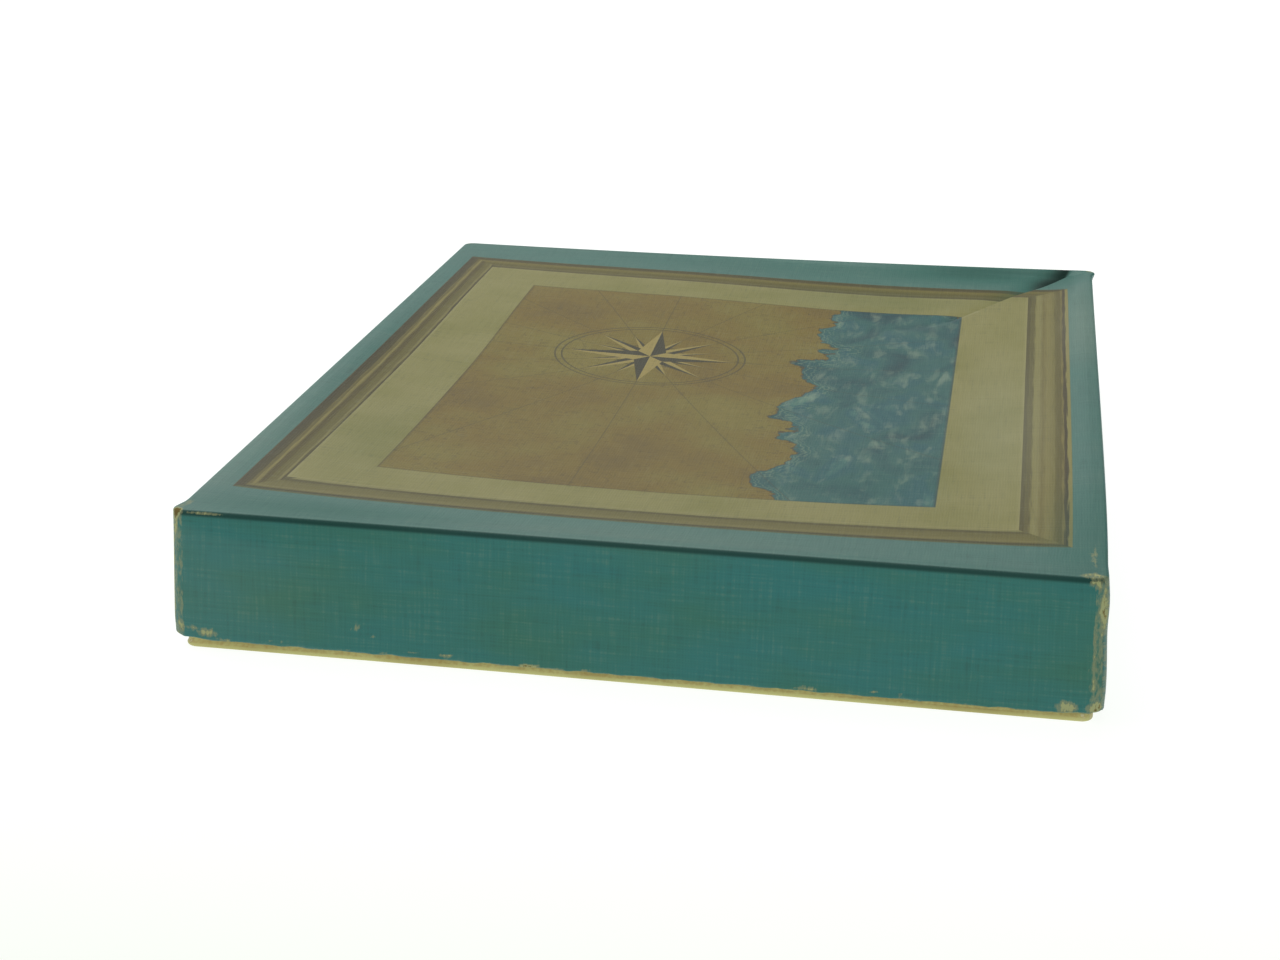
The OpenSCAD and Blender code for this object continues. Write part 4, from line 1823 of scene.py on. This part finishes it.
@dataclass
class Tray:
    """The tray: straw-yellow wrap over greyboard, its foot swollen out under the lid's edge.

    Attributes:
        corner_radius: Outside radius of its upright corners.
        turn_in: How far its wrap runs down the inside.
        swell: How far the foot of the front wall stands out at its right end.
        splay: How far the foot of the left wall stands out at the front.
        half: Its shape as made, stood on its head.
    """

    corner_radius: float = 4.5
    turn_in: float = 18.0
    swell: float = 1.5
    splay: float = 1.3
    half: BoxHalf = field(init=False)

    def __post_init__(self) -> None:
        """Takes the tray's size from the frame."""
        low, high = (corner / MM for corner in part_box("tray_wrap"))
        plan = Plan(high.x - low.x, high.y - low.y, self.corner_radius)
        self.half = BoxHalf(plan, low.z, high.z, edge=1.1, turn_in=self.turn_in)

    def settle(self, points: np.ndarray) -> np.ndarray:
        """Swells the foot of the front and left walls outwards.

        Args:
            points: Points of the tray as it was made.

        Returns:
            The same points on the old tray.
        """
        x, y, z = points.T
        half_w, half_l = self.half.plan.width / 2, self.half.plan.length / 2
        foot = ease(z, 4.0, 1.2)
        front, left = ease(-y, 200, half_l), ease(-x, 120, half_w)
        shift_x = -self.splay * foot * left * ease(-y, 100, half_l)
        shift_y = -self.swell * foot * front * ease(x, -120, half_w)
        return points + np.stack([shift_x, shift_y, np.zeros_like(z)], 1)

    def wear(self, points: np.ndarray) -> np.ndarray:
        """Gives the wear of the wrap: corners, rim and the edge it stands on.

        Args:
            points: Points of the tray as it was made.

        Returns:
            Wear of each point, from 0 to 1.
        """
        worn = [
            corner_wear(points, self.half, (0.5, 0.62, 0.6, 0.5)),
            edge_wear(points, self.half.high, 1.2) * 0.5,
            edge_wear(points, self.half.low + 0.5, 0.7) * 0.4,
        ]
        return np.max(worn, axis=0)

    def build(self) -> list[bpy.types.Object]:
        """Makes the tray's wrap and board.

        Returns:
            Both pieces.
        """
        wrap = self.half.skin().turned_over(self.half.high)
        core = self.half.core().turned_over(self.half.high)
        made = [
            wrap.piece("tray_straw_wrap", self.settle(wrap.points), TrayPaper().material(),
                       {WEAR: self.wear(wrap.points)}),
            core.piece("tray_greyboard_shell", self.settle(core.points), Greyboard().material()),
        ]
        dress(made[0], "tray", "yellow_paper", "tray_wrap")
        dress(made[1], "tray", "greyboard", "tray_board")
        return made


def dress(piece: bpy.types.Object, body: str, slot: str, *nodes: str) -> None:
    """Lets a piece ride on a body and stands it for its CAD nodes.

    Args:
        piece: The piece.
        body: The body that carries it.
        slot: The record's slot; not used.
        nodes: CAD nodes that it is shown for.
    """
    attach(piece, body)
    if nodes:
        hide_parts(*nodes)
    LOG.info("%s rides on %s", piece.name, body)


# ---- what the box holds ----------------------------------------------------


class Side(Enum):
    """The two players: name, and the colours of their cover, their ships and their ruling."""

    BLUE = ("blue", "#27405f", "#2a4f78", "#284a6c")
    RED = ("red", "#7a241c", "#a5281f", "#7a2f26")


@dataclass
class Contents:
    """The finishes of the CAD nodes whose own shapes are shown.

    Attributes:
        white_card: The folded card of the insert and its dividers.
        ships: The ships of each side.
    """

    white_card: PlainPaper = PlainPaper("white_lined_folding_card", colour="#d6d1bf")
    ships: tuple[str, ...] = ("flagship", "frigate", "corvette", "brig", "cutter")

    def finishes(self) -> dict[str, Finish]:
        """Lists each shown node with its finish.

        Returns:
            A finish for each node.
        """
        middle = sum(corner.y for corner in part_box("blue_board_sheet")) / 2 / MM
        shown: dict[str, Finish] = {
            "tray_corner_stays": KraftTape(),
            "tray_lining": PlainPaper("white_lining_paper"),
            "card_insert": self.white_card,
            "trough_dividers": self.white_card,
            "dividing_screen": ScreenPaper(),
            "screen_feet": Beech(),
        }
        for side in Side:
            name, cover, plastic, ink = side.value
            deck = middle if side is Side.BLUE else -middle
            sheet = f"printed_plotting_sheet_{name}"
            shown[f"{name}_board_core"] = Greyboard()
            shown[f"{name}_board_cover"] = GrainedCover(f"leather_grained_paper_{name}", colour=cover)
            shown[f"{name}_board_sheet"] = GridSheet(sheet, middle=deck, rule=ink)
            moulded = Polystyrene(f"moulded_polystyrene_{name}", colour=plastic)
            shown.update({f"{name}_{ship}": moulded for ship in self.ships})
        return shown

    def build(self) -> None:
        """Gives each node its material, one material per finish."""
        made: dict[Finish, bpy.types.Material] = {}
        for node, finish in self.finishes().items():
            if finish not in made:
                made[finish] = finish.material()
            for slot in frame["nodes"][node].material_slots:
                slot.material = made[finish]
            LOG.info("%s is finished in %s", node, finish.name)


STACK_INPUTS = {
    "Geometry": ("Counter",),
    "Int": ("Files", "Rows", "Levels", "Seed"),
    "Vector": ("File Step", "Row Step", "Level Step", "First", "Loose"),
}


@dataclass
class CounterStacks:
    """Stacks of moulded counters in one well, repeated by Geometry Nodes.

    Attributes:
        node: The CAD node that the stacks stand for.
        rows: Stacks along the well.
        levels: Counters in a stack.
        finish: Their plastic.
        slot: The record's slot.
        seed: Seed of their small turns and shifts.
        files: Stacks across the well.
        diameter: Diameter of a counter.
        thickness: Its thickness.
        gap: Air between two counters of a stack.
        file_pitch: Spacing of the stacks across the well.
        row_pitch: Spacing of the stacks along it.
        loose: How far a counter may lie out of its stack's middle.
    """

    node: str
    rows: int
    levels: int
    finish: Polystyrene
    slot: str
    seed: int
    files: int = 2
    diameter: float = 13.0
    thickness: float = 2.2
    gap: float = 0.1
    file_pitch: float = 13.6
    row_pitch: float = 15.0
    loose: float = 0.12

    def counter(self) -> bpy.types.Object:
        """Turns one counter: a rounded rim, a dished face and a ring on each side.

        Returns:
            The counter, at the origin.
        """
        r, t = self.diameter / 2, self.thickness
        edge, slope, hollow, dish = 0.45, 0.13, 0.12, 0.5
        rim = [(r - edge, 0.0), (r - slope, slope), (r, edge)]
        rim += [(radius, t - z) for radius, z in reversed(rim)]
        face = [(r - 1.1, t), (r - 1.5, t - edge), (2.6, t - dish)]
        ring = [(2.3, t - 0.28), (1.9, t - 0.28), (1.6, t - dish)]
        outline = [(r - 1.4, hollow), *rim, *face, *ring]
        around = 28
        angles = [math.tau * k / around for k in range(around)]
        points = [(0.0, 0.0, hollow)]
        for radius, z in outline:
            points += [(radius * math.cos(a), radius * math.sin(a), z) for a in angles]
        points.append((0.0, 0.0, t - dish))
        faces: list[tuple[int, ...]] = []
        for k in range(around):
            after = (k + 1) % around
            faces.append((0, 1 + after, 1 + k))
            for level in range(len(outline) - 1):
                low, high = 1 + level * around, 1 + (level + 1) * around
                faces.append((low + k, low + after, high + after, high + k))
            last = 1 + (len(outline) - 1) * around
            faces.append((len(points) - 1, last + k, last + after))
        mesh = bpy.data.meshes.new(self.node)
        mesh.from_pydata([tuple(c * MM for c in p) for p in points], [], faces)
        return placed(f"{self.node}_one", mesh, self.finish.material())

    def tree(self, material: bpy.types.Material) -> bpy.types.GeometryNodeTree:
        """Builds the tree that sets copies of the incoming counter in stacks.

        Args:
            material: The material of the stacks.

        Returns:
            The tree, with named inputs for every count and size.
        """
        tree = bpy.data.node_groups.new("counter_stacks", "GeometryNodeTree")
        tree.interface.new_socket("Geometry", in_out="OUTPUT", socket_type="NodeSocketGeometry")
        for socket, names in STACK_INPUTS.items():
            for name in names:
                tree.interface.new_socket(name, in_out="INPUT", socket_type=f"NodeSocket{socket}")
        given = add(tree, "NodeGroupInput")
        links = {"Count": given.also("Files"), "Offset": given.also("File Step")}
        links["Start Location"] = given.also("First")
        points = add(tree, "GeometryNodeMeshLine", links)
        for count, step in (("Rows", "Row Step"), ("Levels", "Level Step")):
            links = {"Count": given.also(count), "Offset": given.also(step)}
            line = add(tree, "GeometryNodeMeshLine", links)
            spread = add(tree, "GeometryNodeInstanceOnPoints", {"Points": points, "Instance": line})
            points = add(tree, "GeometryNodeRealizeInstances", {0: spread})
        links = {0: given.also("Loose"), 1: (-1, -1, -1)}
        back = add(tree, "ShaderNodeVectorMath", links, operation="MULTIPLY")
        links = {0: back, 1: given.also("Loose"), "Seed": given.also("Seed")}
        shift = add(tree, "FunctionNodeRandomValue", links, data_type="FLOAT_VECTOR")
        points = add(tree, "GeometryNodeSetPosition", {"Geometry": points, "Offset": shift})
        links = {0: (0, 0, 0), 1: (0, 0, math.tau), "Seed": given.also("Seed")}
        turn = add(tree, "FunctionNodeRandomValue", links, data_type="FLOAT_VECTOR")
        links = {"Points": points, "Instance": given.also("Counter"), "Rotation": turn}
        stacks = add(tree, "GeometryNodeInstanceOnPoints", links)
        real = add(tree, "GeometryNodeRealizeInstances", {0: stacks})
        done = add(tree, "GeometryNodeSetMaterial", {"Geometry": real, "Material": material})
        add(tree, "NodeGroupOutput", {0: done})
        return tree

    def build(self) -> bpy.types.Object:
        """Stacks the counters and bakes them into one mesh.

        Returns:
            The stacks, riding on the counters' body.
        """
        low, high = (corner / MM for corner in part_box(self.node))
        middle = (low + high) / 2
        first = (middle.x - self.file_pitch / 2, middle.y - (self.rows - 1) * self.row_pitch / 2, low.z)
        one = self.counter()
        values = {
            "Files": self.files, "Rows": self.rows, "Levels": self.levels, "Seed": self.seed,
            "File Step": (self.file_pitch * MM, 0, 0), "Row Step": (0, self.row_pitch * MM, 0),
            "Level Step": (0, 0, (self.thickness + self.gap) * MM), "First": tuple(c * MM for c in first),
            "Loose": (self.loose * MM, self.loose * MM, 0),
        }
        mesh = baked(one, self.tree(one.data.materials[0]), values)
        stacks = placed(f"{self.node}_stacked", mesh, one.data.materials[0])
        bpy.data.objects.remove(one)
        dress(stacks, "counters", self.slot, self.node)
        return stacks


def baked(source: bpy.types.Object, tree: bpy.types.GeometryNodeTree,
          values: Mapping[str, object]) -> bpy.types.Mesh:
    """Runs a Geometry Nodes tree on an object and keeps the result as a plain mesh.

    Args:
        source: The object that goes in.
        tree: The tree.
        values: Its inputs, by name.

    Returns:
        The evaluated mesh.
    """
    nodes = source.modifiers.new(tree.name, "NODES")
    nodes.node_group = tree
    for item in tree.interface.items_tree:
        if item.item_type == "SOCKET" and item.in_out == "INPUT" and item.name in values:
            nodes[item.identifier] = values[item.name]
    source.update_tag()
    ready = source.evaluated_get(bpy.context.evaluated_depsgraph_get())
    mesh = bpy.data.meshes.new_from_object(ready)
    source.modifiers.remove(nodes)
    return mesh


@dataclass
class Leaflet:
    """The rules: one sheet folded once and pressed, its pages no longer quite flat.

    Attributes:
        page: Thickness of a page.
        spring: How far the top page lifts at its free edge.
        cells: Steps of the mesh across a page.
        rows: Its rows along the fold.
        bends: Its steps round the fold.
    """

    page: float = 0.5
    spring: float = 1.1
    cells: int = 40
    rows: int = 57
    bends: int = 8

    def build(self) -> bpy.types.Object:
        """Bends the sheet round its fold.

        Returns:
            The leaflet, riding on its own body.
        """
        low, high = (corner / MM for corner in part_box("rules_leaflet"))
        fold = (high.z - low.z) / 2
        flat = high.x - low.x - fold
        lower = [(high.x - flat * k / self.cells, 0.0) for k in range(self.cells + 1)]
        angles = [math.pi * k / self.bends for k in range(1, self.bends)]
        turn = [(low.x + fold - fold * math.sin(a), fold - fold * math.cos(a)) for a in angles]
        upper = [(x, 2 * fold) for x, _ in reversed(lower)]
        path = np.array(lower + turn + upper)
        step = np.gradient(path, axis=0)
        normal = np.stack([-step[:, 1], step[:, 0]], 1) / np.linalg.norm(step, axis=1)[:, None]
        inner = path + normal * self.page
        y = np.linspace(low.y, high.y, self.rows)
        points = []
        for side in (path, inner):
            for row in y:
                free = ease(side[:, 0], low.x, high.x) ** 1.5
                wave = 0.5 + 0.5 * np.sin(row / 70 + side[:, 0] / 60)
                top = ease(side[:, 1], fold * 0.9, fold * 1.6)
                lift = self.spring * free * wave * top
                points.append(np.stack([side[:, 0], np.full(len(side), row), low.z + side[:, 1] + lift], 1))
        joined = np.concatenate(points)
        faces = slab_faces(len(path), self.rows, True)
        sheet = Sheet(joined, faces, joined[faces][:, :, :2])
        made = sheet.piece("folded_rules_leaflet", joined, LeafletPaper().material())
        dress(made, "leaflet", "leaflet_paper", "rules_leaflet")
        return made


# ---- studio ----------------------------------------------------------------


@dataclass(frozen=True)
class Studio:
    """A white floor, a soft light all round, and a camera low in front of the box.

    Attributes:
        eye: Where the camera stands, in metres.
        forward: Which way it looks.
        right: Which way its right side points.
        focal: Focal length over the sensor's width.
        sensor: Width of the sensor in millimetres.
        floor_half: Half the side of the floor, in metres.
        front_light: Strength of the light from all round in front.
        back_light: Its strength from behind, where the lid's top mirrors it.
        side_light: What a patch at the back left adds.
        dim_light: What a dim patch high up at the back right takes away.
        softbox: Size of the light overhead, in metres.
        softbox_place: Where it hangs.
        softbox_power: Its power in watts.
    """

    eye: tuple[float, float, float] = (0.1271, -1.0661, 0.3452)
    forward: tuple[float, float, float] = (-0.1419, 0.9422, -0.3035)
    right: tuple[float, float, float] = (0.9874, 0.1565, 0.0242)
    focal: float = 1.918
    sensor: float = 36.0
    floor_half: float = 8.0
    front_light: float = 0.85
    back_light: float = 0.49
    side_light: float = 0.7
    dim_light: float = 0.75
    softbox: tuple[float, float] = (2.4, 1.6)
    softbox_place: tuple[float, float, float] = (-0.5, 0.6, 2.0)
    softbox_power: float = 34.0

    def build(self) -> None:
        """Makes floor, light and camera."""
        self.floor()
        self.light()
        self.camera()

    def floor(self) -> None:
        """Lays the floor under the box."""
        reach = self.floor_half
        mesh = bpy.data.meshes.new("studio_floor")
        corners = [(-reach, -reach, 0), (reach, -reach, 0), (reach, reach, 0), (-reach, reach, 0)]
        mesh.from_pydata(corners, [], [(0, 1, 2, 3)])
        placed("studio_floor", mesh, StudioFloor().material())

    def light(self) -> None:
        """Lights the set: soft light all round, weaker from behind, and one large light overhead."""
        world = bpy.data.worlds.new("soft_studio")
        world.use_nodes = True
        tree = world.node_tree
        tree.nodes.clear()
        way = add(tree, "ShaderNodeTexCoord", output="Generated")
        across = add(tree, "ShaderNodeSeparateXYZ", {0: way})
        behind = across.also("Y").rise(-0.3, 0.4)
        strength = behind * (self.back_light - self.front_light) + self.front_light
        strength = strength + behind * across.rise(-0.2, -0.55) * self.side_light
        dim = across.rise(-0.15, 0.1) * across.also("Z").rise(0.35, 0.45)
        strength = strength - behind * dim * self.dim_light
        glow = add(tree, "ShaderNodeBackground", {"Color": (1, 1, 1, 1), "Strength": strength})
        add(tree, "ShaderNodeOutputWorld", {"Surface": glow})
        bpy.context.scene.world = world
        lamp = bpy.data.lights.new("overhead_softbox", "AREA")
        lamp.shape = "RECTANGLE"
        lamp.size, lamp.size_y = self.softbox
        lamp.energy = self.softbox_power
        box = bpy.data.objects.new("overhead_softbox", lamp)
        box.location = self.softbox_place
        box.rotation_euler = (Vector((0, 0, 0)) - box.location).to_track_quat("-Z", "Y").to_euler()
        bpy.context.scene.collection.objects.link(box)

    def camera(self) -> None:
        """Stands the camera where it looks down on the box's front."""
        lens = bpy.data.cameras.new("studio_camera")
        lens.sensor_width, lens.lens = self.sensor, self.focal * self.sensor
        lens.clip_start, lens.clip_end = 0.05, 60
        stand = bpy.data.objects.new("studio_camera", lens)
        back = -Vector(self.forward).normalized()
        right = Vector(self.right).normalized()
        up = back.cross(right).normalized()
        turned = Matrix((up.cross(back), up, back)).transposed().to_4x4()
        stand.matrix_world = Matrix.Translation(self.eye) @ turned
        bpy.context.scene.collection.objects.link(stand)
        bpy.context.scene.camera = stand
        bpy.context.scene.view_settings.view_transform = "Standard"


def main() -> None:
    """Builds the studio, the box and its contents."""
    logging.basicConfig(level=logging.INFO, format="%(name)s: %(message)s")
    Studio().build()
    Lid().build()
    Tray().build()
    Contents().build()
    Leaflet().build()
    scarlet = Polystyrene("moulded_polystyrene_scarlet", colour="#a5281f")
    ivory = Polystyrene("moulded_polystyrene_ivory", colour="#ddd3b4")
    CounterStacks("hit_counters", 3, 6, scarlet, "red_plastic", 5).build()
    CounterStacks("miss_counters", 5, 8, ivory, "ivory_plastic", 11).build()


if __name__ == "__main__":
    main()
